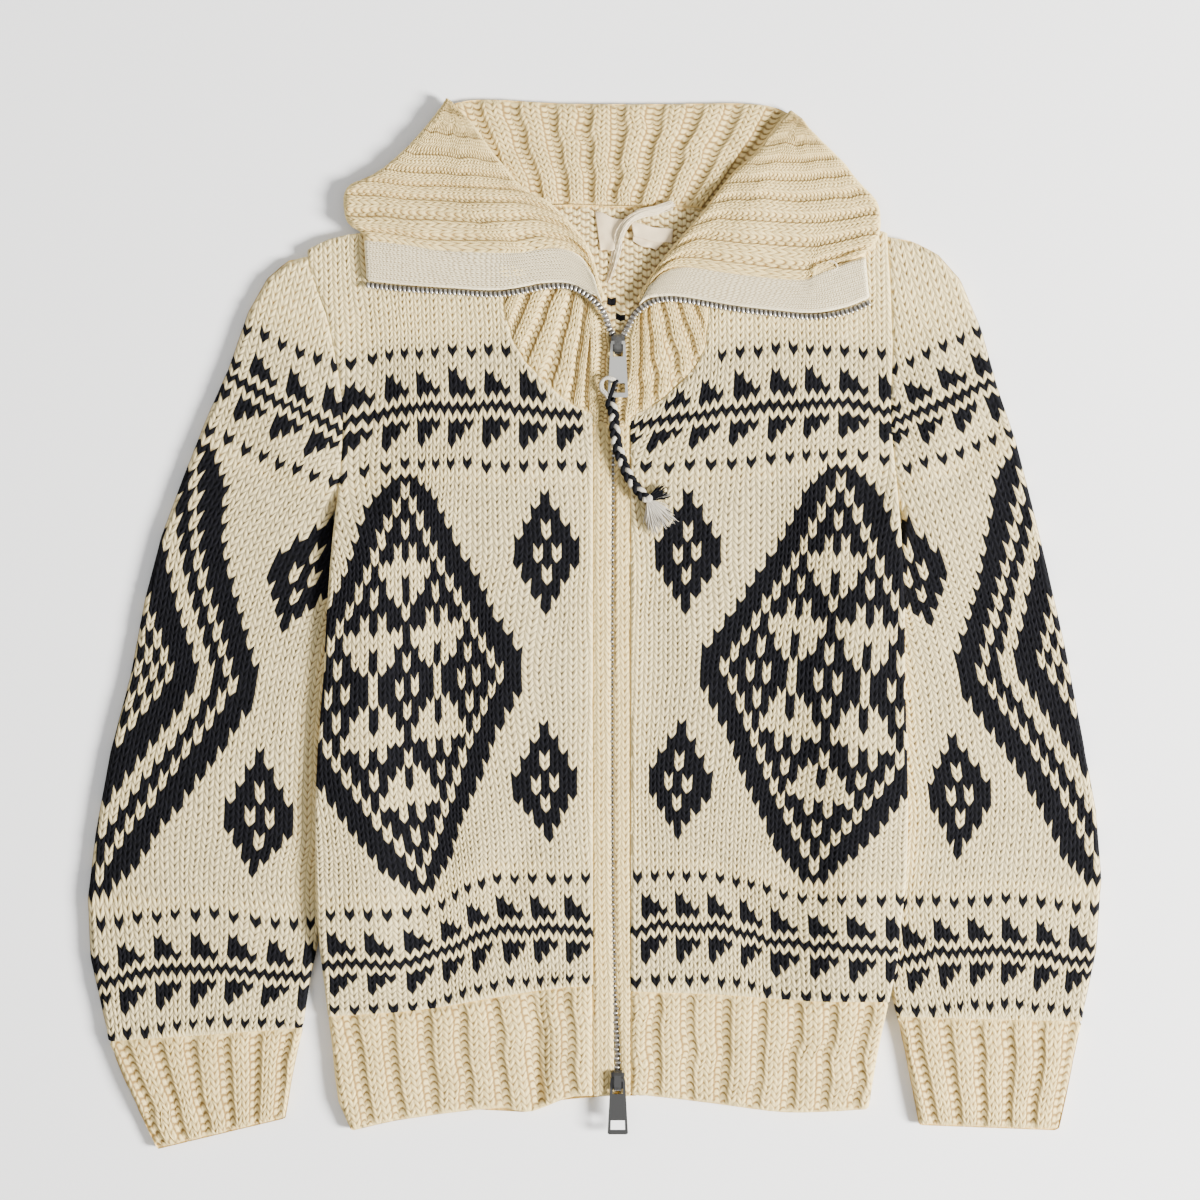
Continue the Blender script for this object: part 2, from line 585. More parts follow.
def edge_loft(depth):
    """Keeps the last stitches at a seam from reading as one dark crease."""
    return 1 - step_up(0.0, 1.2, depth)


Fold = namedtuple("Fold", "x0 y0 x1 y1 width lift")    # a soft ridge, or a trough if lift < 0


def folded(x, y, folds):
    """Rise of the cloth from its soft folds."""
    z = np.zeros(x.shape)
    for f in folds:
        dx, dy = f.x1 - f.x0, f.y1 - f.y0
        u = ((x - f.x0) * dx + (y - f.y0) * dy) / (dx * dx + dy * dy)
        along_it = step_up(-0.25, 0.3, u) * (1 - step_up(0.7, 1.25, u))
        bow = 0.35 * f.width * np.sin(3.2 * u + f.x0 * 0.1)
        away = ((x - f.x0) * dy - (y - f.y0) * dx) / math.hypot(dx, dy) + bow
        z += f.lift * along_it * np.exp(-(away / f.width) ** 2)
    return z


Fit = namedtuple("Fit", "node relief sunk edge drop wall seed side smooth inset")
PLAIN_FIT = Fit("", 1.5, 0.7, 2.2, 1.1, 3.4, 1, 1.0, 2, 6.0)


def knit_cloth(name, place, weave, rows, along, fit, black=None, edges=None, wobble=0.3,
               roll=None, carried=None, folds=()):
    """A knitted panel: a relief of stitches on the face of its solid, cut at the solid's edge.

    place turns columns and rows into millimetres; weave lists the sub-columns; black says
    which stitches are knitted in the dark wool and carried where that wool runs behind.
    """
    line = outline_of(fit.node, fit.side) if edges is None else edges
    top = height_of(fit.node, line, inset=fit.inset, smooth=fit.smooth, side=fit.side)
    w = rows[0] + np.arange((rows[1] - rows[0]) * along + 1) / along
    columns, courses = np.meshgrid(weave.c, w)
    t = courses + weave.shift[None, :]
    drift = wobble * soft_noise(columns * 0.6, courses * 0.35, fit.seed)
    x, y = place(columns + 0.3 * drift, t + drift)
    depth, near = depth_inside(line, x, y)

    rows_n, cols_n = x.shape
    mid = 0.25 * (depth[:-1, :-1] + depth[1:, :-1] + depth[:-1, 1:] + depth[1:, 1:])
    kept = mid > 0.0
    touch = np.zeros((rows_n, cols_n), int)
    touch[:-1, :-1] += kept
    touch[1:, :-1] += kept
    touch[:-1, 1:] += kept
    touch[1:, 1:] += kept
    border = (touch > 0) & (touch < 4)
    out_x, out_y = near[..., 0] - x, near[..., 1] - y
    out = np.where(depth > 0, SEAM_EASE, -SEAM_EASE) / np.maximum(np.hypot(out_x, out_y), 0.05)
    x = np.where(border, near[..., 0] + out * out_x, x)
    y = np.where(border, near[..., 1] + out * out_y, y)
    depth = np.where(border, 0.0, depth)

    share = courses - np.floor(courses)
    stitch = np.round(columns)
    row = np.floor(courses + 1e-6)
    plump = 1.0 + 0.14 * stitch_noise(stitch, row, fit.seed + 5)
    knit_relief = weave.swell[None, :] * (0.25 + 0.75 * leg_profile(share))
    closed = between_legs(weave, share)
    half = (along // 2) / along
    bump = np.abs(np.sin(math.pi * (courses + half * (weave.purl[None, :] > 1.5)))) ** 0.8
    purl = weave.purl[None, :] > 0.5
    purl_relief = bump * (0.25 + 0.75 * weave.swell[None, :])
    loft = np.where(purl, purl_relief, knit_relief + 0.22 * closed)
    shade = np.where(purl, purl_relief * 0.9, knit_relief + 0.42 * closed)
    calm = step_up(0.0, 2.0, depth)
    z = top(x, y) - fit.side * fit.sunk
    z = z + fit.side * (fit.relief * loft * plump * (0.35 + 0.65 * calm)
                        + weave.rise[None, :] * (0.3 + 0.7 * step_up(0.0, 5.0, depth)))
    near_edge = np.clip(depth / fit.edge, 0, 1)
    share_of_roll = 1.0 if roll is None else 0.25 + 0.75 * roll(x, y)
    z = z - fit.side * fit.drop * share_of_roll * (1 - np.sqrt(1 - (1 - near_edge) ** 2))
    z = z + fit.side * folded(x, y, folds) * step_up(0.0, 6.0, depth)
    z = np.maximum(z, TABLE)

    index = np.full(x.shape, -1)
    index[touch > 0] = np.arange(np.count_nonzero(touch > 0))
    points = np.stack([x[touch > 0], y[touch > 0], z[touch > 0]], axis=1)
    fi, fj = np.nonzero(kept)
    quads = np.stack([index[fi, fj], index[fi + 1, fj], index[fi + 1, fj + 1],
                      index[fi, fj + 1]], axis=1)
    c_mid = 0.5 * (weave.c[fj] + weave.c[fj + 1])
    r_mid = np.floor(0.5 * (w[fi] + w[fi + 1]))
    dark = np.zeros(len(fi), int)
    if black is not None:
        dark = black(np.round(c_mid), r_mid).astype(int)
    uv_u = (columns - columns.min()) / (columns.max() - columns.min())
    uv_v = 1 - (courses - w[0]) / (w[-1] - w[0])
    uv = np.stack([uv_u[touch > 0], uv_v[touch > 0]], axis=1)
    thread = np.stack([columns[touch > 0], courses[touch > 0]], axis=1)
    tone = stitch_noise(stitch, row, fit.seed + 9)[touch > 0]
    lofts = shade[touch > 0]
    greyed = (np.zeros(x.shape) if carried is None else carried(columns, t))[touch > 0]

    directed = np.concatenate([quads[:, [0, 1]], quads[:, [1, 2]], quads[:, [2, 3]],
                               quads[:, [3, 0]]])
    owner = np.tile(np.arange(len(quads)), 4)
    key = directed.min(axis=1) * (len(points) + 1) + directed.max(axis=1)
    _, first, count = np.unique(key, return_index=True, return_counts=True)
    rim = first[count == 1]
    a, b = directed[rim, 0], directed[rim, 1]
    ends = np.unique(np.concatenate([a, b]))
    lower = np.full(len(points), -1)
    lower[ends] = len(points) + np.arange(len(ends))
    foot = points[ends].copy()
    foot[:, 2] = np.maximum(foot[:, 2] - fit.side * fit.wall, TABLE)
    skirt = np.stack([a, lower[a], lower[b], b], axis=1)
    middle = uv.mean(axis=0)
    away = uv[ends] - middle
    away /= np.maximum(np.linalg.norm(away, axis=1, keepdims=True), 1e-6)
    points = np.concatenate([points, foot])
    uv = np.concatenate([uv, uv[ends] + 0.012 * away])
    thread = np.concatenate([thread, thread[ends]])
    tone = np.concatenate([tone, tone[ends]])
    lofts = np.concatenate([np.maximum(lofts, 0.72 * edge_loft(depth)[touch > 0]),
                            np.full(len(ends), 0.8)])
    greyed = np.concatenate([greyed, greyed[ends]])
    quads = np.concatenate([quads, skirt])
    dark = np.concatenate([dark, dark[owner[rim]]])
    if fit.side < 0:
        quads = quads[:, ::-1]
    piece = mesh_piece(name, points, quads, dark, uv,
                       {"loft": lofts, "tone": tone, "carried": greyed}, thread)
    turned = float(np.sum(np.hypot(*(line - np.roll(line, -1, axis=0)).T))) * fit.wall
    area = (abs(loop_area(line)) + turned) * MM * MM
    return piece, Cut(line, fit.wall), area


Cut = namedtuple("Cut", "line turned")


def mesh_piece(name, points, quads, slots, uv, marks, thread=None, unwrap="OFBake"):
    """A mesh object in the frame from points in millimetres and four-sided faces.

    uv and thread hold one pair for each point, or one for each corner of each face.
    """
    def corners(values):
        per_corner = values if len(values) == len(quads) * 4 else values[quads.ravel()]
        return per_corner.astype(np.float32).ravel()

    mesh = bpy.data.meshes.new(name)
    mesh.vertices.add(len(points))
    mesh.vertices.foreach_set("co", (points * MM).astype(np.float32).ravel())
    mesh.loops.add(len(quads) * 4)
    mesh.loops.foreach_set("vertex_index", quads.astype(np.int32).ravel())
    mesh.polygons.add(len(quads))
    mesh.polygons.foreach_set("loop_start", np.arange(0, len(quads) * 4, 4, dtype=np.int32))
    mesh.update(calc_edges=True)
    mesh.polygons.foreach_set("material_index", np.asarray(slots, np.int32))
    layer = mesh.uv_layers.new(name=unwrap)
    layer.data.foreach_set("uv", corners(0.02 + 0.96 * uv))
    if thread is not None:
        layer = mesh.uv_layers.new(name="thread")
        layer.data.foreach_set("uv", corners(thread))
    for mark, values in marks.items():
        attribute = mesh.attributes.new(mark, "FLOAT", "POINT")
        attribute.data.foreach_set("value", np.asarray(values, np.float32))
    mesh.uv_layers.active_index = 0
    mesh.validate()
    mesh.shade_smooth()
    piece = bpy.data.objects.new(name, mesh)
    bpy.context.scene.collection.objects.link(piece)
    return piece


RIB_EASE = 1.18         # assumed, not measured: how much wider ribbing is pulled flat than at rest


def dress(piece, materials, node, slot, flat, area, body="garment"):
    """Give a cloth piece its wools, its place in the model and its cut."""
    if slot == "rib":
        flat = (round(flat[0] * RIB_EASE, 4), flat[1])
        area *= RIB_EASE
    for material in materials:
        piece.data.materials.append(material)
    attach(piece, body)
    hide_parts(*([node] if isinstance(node, str) else node))


def flat_size(cut, layers=1):
    """Width and length of the cut with its turned edges; a tube's is opened out flat."""
    size = (cut.line.max(axis=0) - cut.line.min(axis=0) + 2 * cut.turned) * MM
    return (round(layers * float(size[0]), 4), round(float(size[1]), 4))


# --- wools and metals ---------------------------------------------------------------------------

def start_material(name, color, roughness, metallic=0.0):
    material = bpy.data.materials.new(name)
    material.use_nodes = True
    material.diffuse_color = (*color, 1.0)
    shader = material.node_tree.nodes["Principled BSDF"]
    shader.inputs["Base Color"].default_value = (*color, 1.0)
    shader.inputs["Roughness"].default_value = roughness
    shader.inputs["Metallic"].default_value = metallic
    return material, material.node_tree, shader


def socket(group, name, kind, value=None, out=False):
    made = group.interface.new_socket(name=name, in_out="OUTPUT" if out else "INPUT",
                                      socket_type="NodeSocket" + kind)
    if value is not None:
        made.default_value = value
    return made


def make_wool_group():
    """Fuzzy twisted wool: deep creases, spun plies and loose fibres."""
    group = bpy.data.node_groups.new("Wool Yarn", "ShaderNodeTree")
    socket(group, "Wool", "Color", (0.8, 0.7, 0.55, 1.0))
    socket(group, "Crease", "Color", (0.5, 0.35, 0.15, 1.0))
    socket(group, "Carried Wool", "Color", (0.7, 0.65, 0.55, 1.0))
    socket(group, "Carried Crease", "Color", (0.2, 0.18, 0.15, 1.0))
    socket(group, "Fuzz", "Color", (0.9, 0.85, 0.75, 1.0))
    socket(group, "Tone Change", "Float", 0.12)
    socket(group, "Fuzz Share", "Float", 0.25)
    socket(group, "Ply Depth", "Float", 0.5)
    socket(group, "Color", "Color", out=True)
    socket(group, "Roughness", "Float", out=True)
    socket(group, "Normal", "Vector", out=True)
    nodes, links = group.nodes, group.links
    given = nodes.new("NodeGroupInput")
    result = nodes.new("NodeGroupOutput")

    place = nodes.new("ShaderNodeTexCoord")
    loft = nodes.new("ShaderNodeAttribute")
    loft.attribute_name = "loft"
    tone = nodes.new("ShaderNodeAttribute")
    tone.attribute_name = "tone"

    cloud = nodes.new("ShaderNodeTexNoise")
    cloud.inputs["Scale"].default_value = 22.0
    cloud.inputs["Detail"].default_value = 3.0
    links.new(place.outputs["Object"], cloud.inputs["Vector"])
    fibre = nodes.new("ShaderNodeTexNoise")
    fibre.inputs["Scale"].default_value = 1150.0
    fibre.inputs["Detail"].default_value = 4.0
    fibre.inputs["Roughness"].default_value = 0.65
    fibre.inputs["Distortion"].default_value = 1.2
    links.new(place.outputs["Object"], fibre.inputs["Vector"])

    crease = nodes.new("ShaderNodeMapRange")
    crease.interpolation_type = "SMOOTHSTEP"
    crease.inputs["From Min"].default_value = 0.06
    crease.inputs["From Max"].default_value = 0.72
    links.new(loft.outputs["Fac"], crease.inputs["Value"])
    carried = nodes.new("ShaderNodeAttribute")
    carried.attribute_name = "carried"
    body = nodes.new("ShaderNodeMix")
    body.data_type = "RGBA"
    links.new(crease.outputs["Result"], body.inputs["Factor"])
    for end, plain, greyed in (("A", "Crease", "Carried Crease"), ("B", "Wool", "Carried Wool")):
        choice = nodes.new("ShaderNodeMix")
        choice.data_type = "RGBA"
        links.new(carried.outputs["Fac"], choice.inputs["Factor"])
        links.new(given.outputs[plain], choice.inputs["A"])
        links.new(given.outputs[greyed], choice.inputs["B"])
        links.new(choice.outputs["Result"], body.inputs[end])

    fuzz_mask = nodes.new("ShaderNodeMapRange")
    fuzz_mask.inputs["From Min"].default_value = 0.52
    fuzz_mask.inputs["From Max"].default_value = 0.78
    links.new(fibre.outputs["Fac"], fuzz_mask.inputs["Value"])
    fuzz_share = nodes.new("ShaderNodeMath")
    fuzz_share.operation = "MULTIPLY"
    links.new(fuzz_mask.outputs["Result"], fuzz_share.inputs[0])
    links.new(given.outputs["Fuzz Share"], fuzz_share.inputs[1])
    fuzzy = nodes.new("ShaderNodeMix")
    fuzzy.data_type = "RGBA"
    links.new(fuzz_share.outputs["Value"], fuzzy.inputs["Factor"])
    links.new(body.outputs["Result"], fuzzy.inputs["A"])
    links.new(given.outputs["Fuzz"], fuzzy.inputs["B"])

    drift = nodes.new("ShaderNodeMath")
    drift.operation = "SUBTRACT"
    drift.inputs[1].default_value = 0.5
    links.new(cloud.outputs["Fac"], drift.inputs[0])
    both = nodes.new("ShaderNodeMath")
    both.operation = "MULTIPLY_ADD"
    both.inputs[1].default_value = 0.45
    links.new(tone.outputs["Fac"], both.inputs[0])
    links.new(drift.outputs["Value"], both.inputs[2])
    amount = nodes.new("ShaderNodeMath")
    amount.operation = "MULTIPLY"
    links.new(both.outputs["Value"], amount.inputs[0])
    links.new(given.outputs["Tone Change"], amount.inputs[1])
    bright = nodes.new("ShaderNodeMath")
    bright.operation = "ADD"
    bright.inputs[1].default_value = 1.0
    links.new(amount.outputs["Value"], bright.inputs[0])
    toned = nodes.new("ShaderNodeVectorMath")
    toned.operation = "SCALE"
    links.new(fuzzy.outputs["Result"], toned.inputs[0])
    links.new(bright.outputs["Value"], toned.inputs["Scale"])
    links.new(toned.outputs["Vector"], result.inputs["Color"])

    rough = nodes.new("ShaderNodeMapRange")
    rough.inputs["To Min"].default_value = 0.82
    rough.inputs["To Max"].default_value = 0.98
    links.new(fibre.outputs["Fac"], rough.inputs["Value"])
    links.new(rough.outputs["Result"], result.inputs["Roughness"])

    thread = nodes.new("ShaderNodeUVMap")
    thread.uv_map = "thread"
    twist = nodes.new("ShaderNodeTexWave")
    twist.wave_type = "BANDS"
    twist.bands_direction = "DIAGONAL"
    twist.inputs["Scale"].default_value = 0.9
    twist.inputs["Distortion"].default_value = 2.4
    twist.inputs["Detail"].default_value = 2.0
    links.new(thread.outputs["UV"], twist.inputs["Vector"])
    ply = nodes.new("ShaderNodeMath")
    ply.operation = "MULTIPLY"
    links.new(twist.outputs["Fac"], ply.inputs[0])
    links.new(given.outputs["Ply Depth"], ply.inputs[1])
    height = nodes.new("ShaderNodeMath")
    height.operation = "ADD"
    links.new(ply.outputs["Value"], height.inputs[0])
    links.new(fibre.outputs["Fac"], height.inputs[1])
    bump = nodes.new("ShaderNodeBump")
    bump.inputs["Strength"].default_value = 0.55
    bump.inputs["Distance"].default_value = 0.0006
    links.new(height.outputs["Value"], bump.inputs["Height"])
    links.new(bump.outputs["Normal"], result.inputs["Normal"])
    return group


def wool(name, color, crease, fuzz, tone=0.12, share=0.25, ply=0.5, sheen=0.35, tint=None,
         greyed=None, greyed_crease=None):
    material, tree, shader = start_material(name, color[:3], 0.9)
    node = tree.nodes.new("ShaderNodeGroup")
    node.node_tree = bpy.data.node_groups.get("Wool Yarn") or make_wool_group()
    node.inputs["Wool"].default_value = (*color[:3], 1.0)
    node.inputs["Crease"].default_value = (*crease[:3], 1.0)
    node.inputs["Carried Wool"].default_value = (*(greyed or color)[:3], 1.0)
    node.inputs["Carried Crease"].default_value = (*(greyed_crease or crease)[:3], 1.0)
    node.inputs["Fuzz"].default_value = (*fuzz[:3], 1.0)
    node.inputs["Tone Change"].default_value = tone
    node.inputs["Fuzz Share"].default_value = share
    node.inputs["Ply Depth"].default_value = ply
    tree.links.new(node.outputs["Color"], shader.inputs["Base Color"])
    tree.links.new(node.outputs["Roughness"], shader.inputs["Roughness"])
    tree.links.new(node.outputs["Normal"], shader.inputs["Normal"])
    shader.inputs["Sheen Weight"].default_value = sheen
    shader.inputs["Sheen Roughness"].default_value = 0.5
    shader.inputs["Sheen Tint"].default_value = (*(tint or color)[:3], 1.0)
    shader.inputs["Specular IOR Level"].default_value = 0.12
    return material


def make_metal_group():
    """Cast zip metal: rubbed bright on its high spots, with fine scratches and dark pits."""
    group = bpy.data.node_groups.new("Zip Metal", "ShaderNodeTree")
    socket(group, "Metal", "Color", (0.6, 0.6, 0.6, 1.0))
    socket(group, "Tarnish", "Color", (0.2, 0.2, 0.2, 1.0))
    socket(group, "Wear", "Float", 0.5)
    socket(group, "Color", "Color", out=True)
    socket(group, "Roughness", "Float", out=True)
    socket(group, "Normal", "Vector", out=True)
    nodes, links = group.nodes, group.links
    given = nodes.new("NodeGroupInput")
    result = nodes.new("NodeGroupOutput")
    place = nodes.new("ShaderNodeTexCoord")
    grain = nodes.new("ShaderNodeTexNoise")
    grain.inputs["Scale"].default_value = 320.0
    grain.inputs["Detail"].default_value = 5.0
    links.new(place.outputs["Object"], grain.inputs["Vector"])
    fine = nodes.new("ShaderNodeTexNoise")
    fine.inputs["Scale"].default_value = 2400.0
    fine.inputs["Detail"].default_value = 3.0
    links.new(place.outputs["Object"], fine.inputs["Vector"])
    worn = nodes.new("ShaderNodeMapRange")
    worn.inputs["From Min"].default_value = 0.35
    worn.inputs["From Max"].default_value = 0.65
    links.new(grain.outputs["Fac"], worn.inputs["Value"])
    share = nodes.new("ShaderNodeMath")
    share.operation = "MULTIPLY"
    links.new(worn.outputs["Result"], share.inputs[0])
    links.new(given.outputs["Wear"], share.inputs[1])
    color = nodes.new("ShaderNodeMix")
    color.data_type = "RGBA"
    links.new(share.outputs["Value"], color.inputs["Factor"])
    links.new(given.outputs["Metal"], color.inputs["A"])
    links.new(given.outputs["Tarnish"], color.inputs["B"])
    links.new(color.outputs["Result"], result.inputs["Color"])
    rough = nodes.new("ShaderNodeMapRange")
    rough.inputs["To Min"].default_value = 0.24
    rough.inputs["To Max"].default_value = 0.46
    links.new(grain.outputs["Fac"], rough.inputs["Value"])
    links.new(rough.outputs["Result"], result.inputs["Roughness"])
    bump = nodes.new("ShaderNodeBump")
    bump.inputs["Strength"].default_value = 0.25
    bump.inputs["Distance"].default_value = 0.0001
    links.new(fine.outputs["Fac"], bump.inputs["Height"])
    links.new(bump.outputs["Normal"], result.inputs["Normal"])
    return group


def metal(name, color, tarnish, wear):
    material, tree, shader = start_material(name, color, 0.34, 1.0)
    node = tree.nodes.new("ShaderNodeGroup")
    node.node_tree = bpy.data.node_groups.get("Zip Metal") or make_metal_group()
    node.inputs["Metal"].default_value = (*color[:3], 1.0)
    node.inputs["Tarnish"].default_value = (*tarnish[:3], 1.0)
    node.inputs["Wear"].default_value = wear
    tree.links.new(node.outputs["Color"], shader.inputs["Base Color"])
    tree.links.new(node.outputs["Roughness"], shader.inputs["Roughness"])
    tree.links.new(node.outputs["Normal"], shader.inputs["Normal"])
    return material


def satin(name, color):
    """Label satin: a fine warp-faced weave with a soft gloss."""
    material, tree, shader = start_material(name, color, 0.4)
    nodes, links = tree.nodes, tree.links
    place = nodes.new("ShaderNodeTexCoord")
    stretch = nodes.new("ShaderNodeMapping")
    stretch.inputs["Scale"].default_value = (900.0, 5200.0, 900.0)
    links.new(place.outputs["Object"], stretch.inputs["Vector"])
    weave = nodes.new("ShaderNodeTexNoise")
    weave.inputs["Scale"].default_value = 1.0
    weave.inputs["Detail"].default_value = 2.0
    links.new(stretch.outputs["Vector"], weave.inputs["Vector"])
    ramp = nodes.new("ShaderNodeMix")
    ramp.data_type = "RGBA"
    ramp.inputs["A"].default_value = (*[k * 0.82 for k in color], 1.0)
    ramp.inputs["B"].default_value = (*color, 1.0)
    links.new(weave.outputs["Fac"], ramp.inputs["Factor"])
    links.new(ramp.outputs["Result"], shader.inputs["Base Color"])
    bump = nodes.new("ShaderNodeBump")
    bump.inputs["Strength"].default_value = 0.3
    bump.inputs["Distance"].default_value = 0.0001
    links.new(weave.outputs["Fac"], bump.inputs["Height"])
    links.new(bump.outputs["Normal"], shader.inputs["Normal"])
    shader.inputs["Sheen Weight"].default_value = 0.2
    return material


def finish_of(name):
    """A named wool or metal of this cardigan, made once from the sidebar's colours."""
    made = bpy.data.materials.get(name)
    if made is not None:
        return made
    yarn = bpy.context.scene.cardigan_yarn
    cream, dark, tape = tuple(yarn.cream), tuple(yarn.dark), tuple(yarn.tape)
    if name == "cream_wool":
        return wool(name, cream, (0.27, 0.165, 0.055), (0.93, 0.83, 0.60), share=0.34,
                    greyed=tuple(k * s for k, s in zip(cream, (0.84, 0.85, 0.92))),
                    greyed_crease=(0.055, 0.045, 0.032))
    if name == "rib_wool":
        ribbed = tuple(k * s for k, s in zip(cream, (0.96, 0.91, 0.80)))
        return wool(name, ribbed, (0.27, 0.165, 0.05), (0.90, 0.78, 0.50), tone=0.16, share=0.34)
    if name == "tuft_wool":
        return wool(name, (0.47, 0.43, 0.355), (0.24, 0.20, 0.14), (0.66, 0.61, 0.52), share=0.5,
                    sheen=0.15)
    if name == "loose_wool":
        return wool(name, (0.76, 0.64, 0.43), (0.40, 0.30, 0.16), (0.88, 0.79, 0.60), share=0.5,
                    sheen=0.2)
    if name == "black_wool":
        return wool(name, dark, (0.001, 0.001, 0.001), (0.016, 0.016, 0.019), tone=0.3,
                    share=0.5, sheen=0.0, tint=(0.35, 0.36, 0.42))
    if name == "facing_tape":
        return wool(name, tape, (0.28, 0.20, 0.09), (0.94, 0.88, 0.72), tone=0.10, ply=0.2)
    if name == "zip_tape":
        return wool(name, (0.12, 0.105, 0.085), (0.03, 0.03, 0.025), (0.20, 0.18, 0.15))
    if name == "silver_metal":
        return metal(name, (0.66, 0.65, 0.62), (0.36, 0.35, 0.33), 0.35)
    if name == "slider_metal":
        return metal(name, (0.25, 0.245, 0.235), (0.06, 0.058, 0.055), 0.6)
    if name == "dark_metal":
        return metal(name, (0.16, 0.155, 0.15), (0.045, 0.045, 0.045), 0.7)
    if name == "teeth_metal":
        return metal(name, (0.60, 0.58, 0.54), (0.20, 0.19, 0.18), 0.6)
    if name == "label_satin":
        return satin(name, (0.90, 0.72, 0.45))
    raise ValueError("no finish is named " + name)


# --- ribbed pieces: where their ribs run, in pixels of the reference photo ------------------------

Rung = namedtuple("Rung", "rib x0 y0 x1 y1")    # a rib's line from its first to its last row

CUFF_LEFT_RUNGS = [
    Rung(-1.5, 90, 1048, 140, 1154), Rung(-0.5, 123, 1044, 163, 1152),
    Rung(0.5, 156.5, 1040, 186, 1150), Rung(1.5, 190, 1037, 208, 1148),
    Rung(2.5, 224, 1034, 231, 1144), Rung(3.5, 256, 1031, 253, 1140),
    Rung(4.5, 287, 1029, 275, 1130), Rung(5.5, 318, 1027, 297, 1118),
]
CUFF_RIGHT_RUNGS = [
    Rung(-1.5, 880, 1014, 912, 1124), Rung(-0.5, 912, 1015, 935, 1126),
    Rung(0.5, 944, 1015, 959, 1128), Rung(1.5, 976, 1015, 983, 1130),
    Rung(2.5, 1008, 1016, 1007, 1131), Rung(3.5, 1040, 1018, 1031, 1132),
    Rung(4.5, 1072, 1020, 1054, 1132), Rung(5.5, 1104, 1022, 1078, 1132),
]
HEM_LEFT_RUNGS = [
    Rung(-1.0, 300, 1022, 318, 1138), Rung(0.0, 334, 1018, 352, 1132),
    Rung(1.0, 369, 1014, 384, 1124), Rung(4.0, 474, 1000, 486, 1110),
    Rung(7.0, 580, 988, 588, 1098), Rung(8.0, 615, 988, 620, 1098),
]
HEM_RIGHT_RUNGS = [
    Rung(-1.0, 602, 990, 602, 1094), Rung(0.0, 637, 992, 637, 1096),
    Rung(3.0, 742, 999, 738, 1108), Rung(6.0, 847, 1002, 838, 1112),
    Rung(7.0, 882, 1002, 870, 1112), Rung(8.0, 917, 1002, 902, 1112),
]
COLLAR_RUNGS = [
    Rung(-1.0, 484, 214, 412, 104), Rung(0.0, 504, 211, 450, 101), Rung(2.0, 552, 205, 528, 99),
    Rung(4.5, 612, 204, 620, 100), Rung(7.0, 672, 205, 716, 100), Rung(9.0, 716, 212, 797, 112),
    Rung(10.0, 736, 216, 836, 118),
]


def rung_places(rungs, rows):
    def place(c, t):
        v = t / rows
        ribs = [k.rib for k in rungs]
        ends = [read_straight(ribs, [getattr(k, part) for k in rungs], c)
                for part in ("x0", "y0", "x1", "y1")]
        x = ends[0] + (ends[2] - ends[0]) * v
        y = ends[1] + (ends[3] - ends[1]) * v
        return photo_to_frame(x, y)
    return place


# --- collar, in millimetres ------------------------------------------------------------------------

Station = namedtuple("Station", "outer_x outer_y inner_x inner_y")
Point = namedtuple("Point", "x y")

LAPEL_OVER_FRONT = 11.4
LAPEL_OVER_COLLAR = 7.0
FACING_ROOM = 3.0
FACING_END = 0.9
LAPEL_RIBS = 8

LAPEL_LEFT = [
    Station(-184, 263, -10.5, 232), Station(-186, 288, -11, 254), Station(-198, 299, -18, 278),
    Station(-201, 318, -31, 297), Station(-196, 329, -48, 315), Station(-179, 337, -68, 327),
    Station(-162, 350, -79, 341), Station(-146, 366, -92, 357), Station(-132, 383, -104, 375),
    Station(-124, 395, -119, 391),
]
LAPEL_RIGHT = [
    Station(196, 258, 17, 232), Station(202, 268, 21, 250), Station(207, 281, 35, 270),
    Station(206, 298, 52, 290), Station(201, 315, 68, 309), Station(186, 331, 80, 325),
    Station(175, 345, 92, 340), Station(164, 356, 108, 354), Station(152, 368, 123, 374),
    Station(143, 379, 134, 386),
]
FACING_TOP_LEFT = [
    Point(-186, 289), Point(-158, 286), Point(-127, 281), Point(-84, 280), Point(-69, 280),
    Point(-42, 283), Point(-25, 277), Point(-15, 263), Point(-8.5, 246),
]
TEETH_LEFT = [
    Point(-184, 255), Point(-158, 252), Point(-118, 249.5), Point(-84, 248), Point(-47, 254),
    Point(-28, 252.5), Point(-14, 243.5), Point(-6, 234), Point(-1.5, 222),
]
FACING_TOP_RIGHT = [
    Point(190, 276), Point(170, 270), Point(152, 263), Point(142, 259), Point(102, 262),
    Point(62, 268), Point(43, 266), Point(30, 256), Point(22, 244),
]
TEETH_RIGHT = [
    Point(193, 242), Point(176, 235), Point(152, 231), Point(126, 233), Point(92, 237),
    Point(50, 244), Point(32, 243), Point(18, 234.5), Point(10.5, 222),
]
NECK_LEFT = [
    Point(-14.5, 158), Point(-25, 162), Point(-34, 167.5), Point(-50, 181.5),
    Point(-65, 197), Point(-75, 214), Point(-81, 236), Point(-83, 262),
]
NECK_RIGHT = [
    Point(14.0, 156), Point(25, 161), Point(36, 167.5), Point(52, 181.5),
    Point(64, 195), Point(70.5, 210), Point(72, 234), Point(71, 262),
]
INSET_TOP_LEFT = [
    Point(-15.5, 196), Point(-18, 214), Point(-24, 232), Point(-33, 244),
    Point(-44, 252), Point(-56, 257), Point(-68, 260), Point(-80, 263),
]
INSET_TOP_RIGHT = [
    Point(17, 194), Point(24, 212), Point(30, 226), Point(38, 238),
    Point(46, 246), Point(54, 252), Point(61, 257), Point(68, 263),
]
ZIP_LINE = [
    Point(4.5, 205), Point(3.5, 180), Point(1.5, 150), Point(0.5, 100), Point(0, 20),
    Point(0, -80), Point(0.3, -180), Point(1.5, -260), Point(3, -300), Point(4, -330),
    Point(4.5, -353),
]
COLLAR_SEAM = [Point(-84, 309), Point(78, 309)]
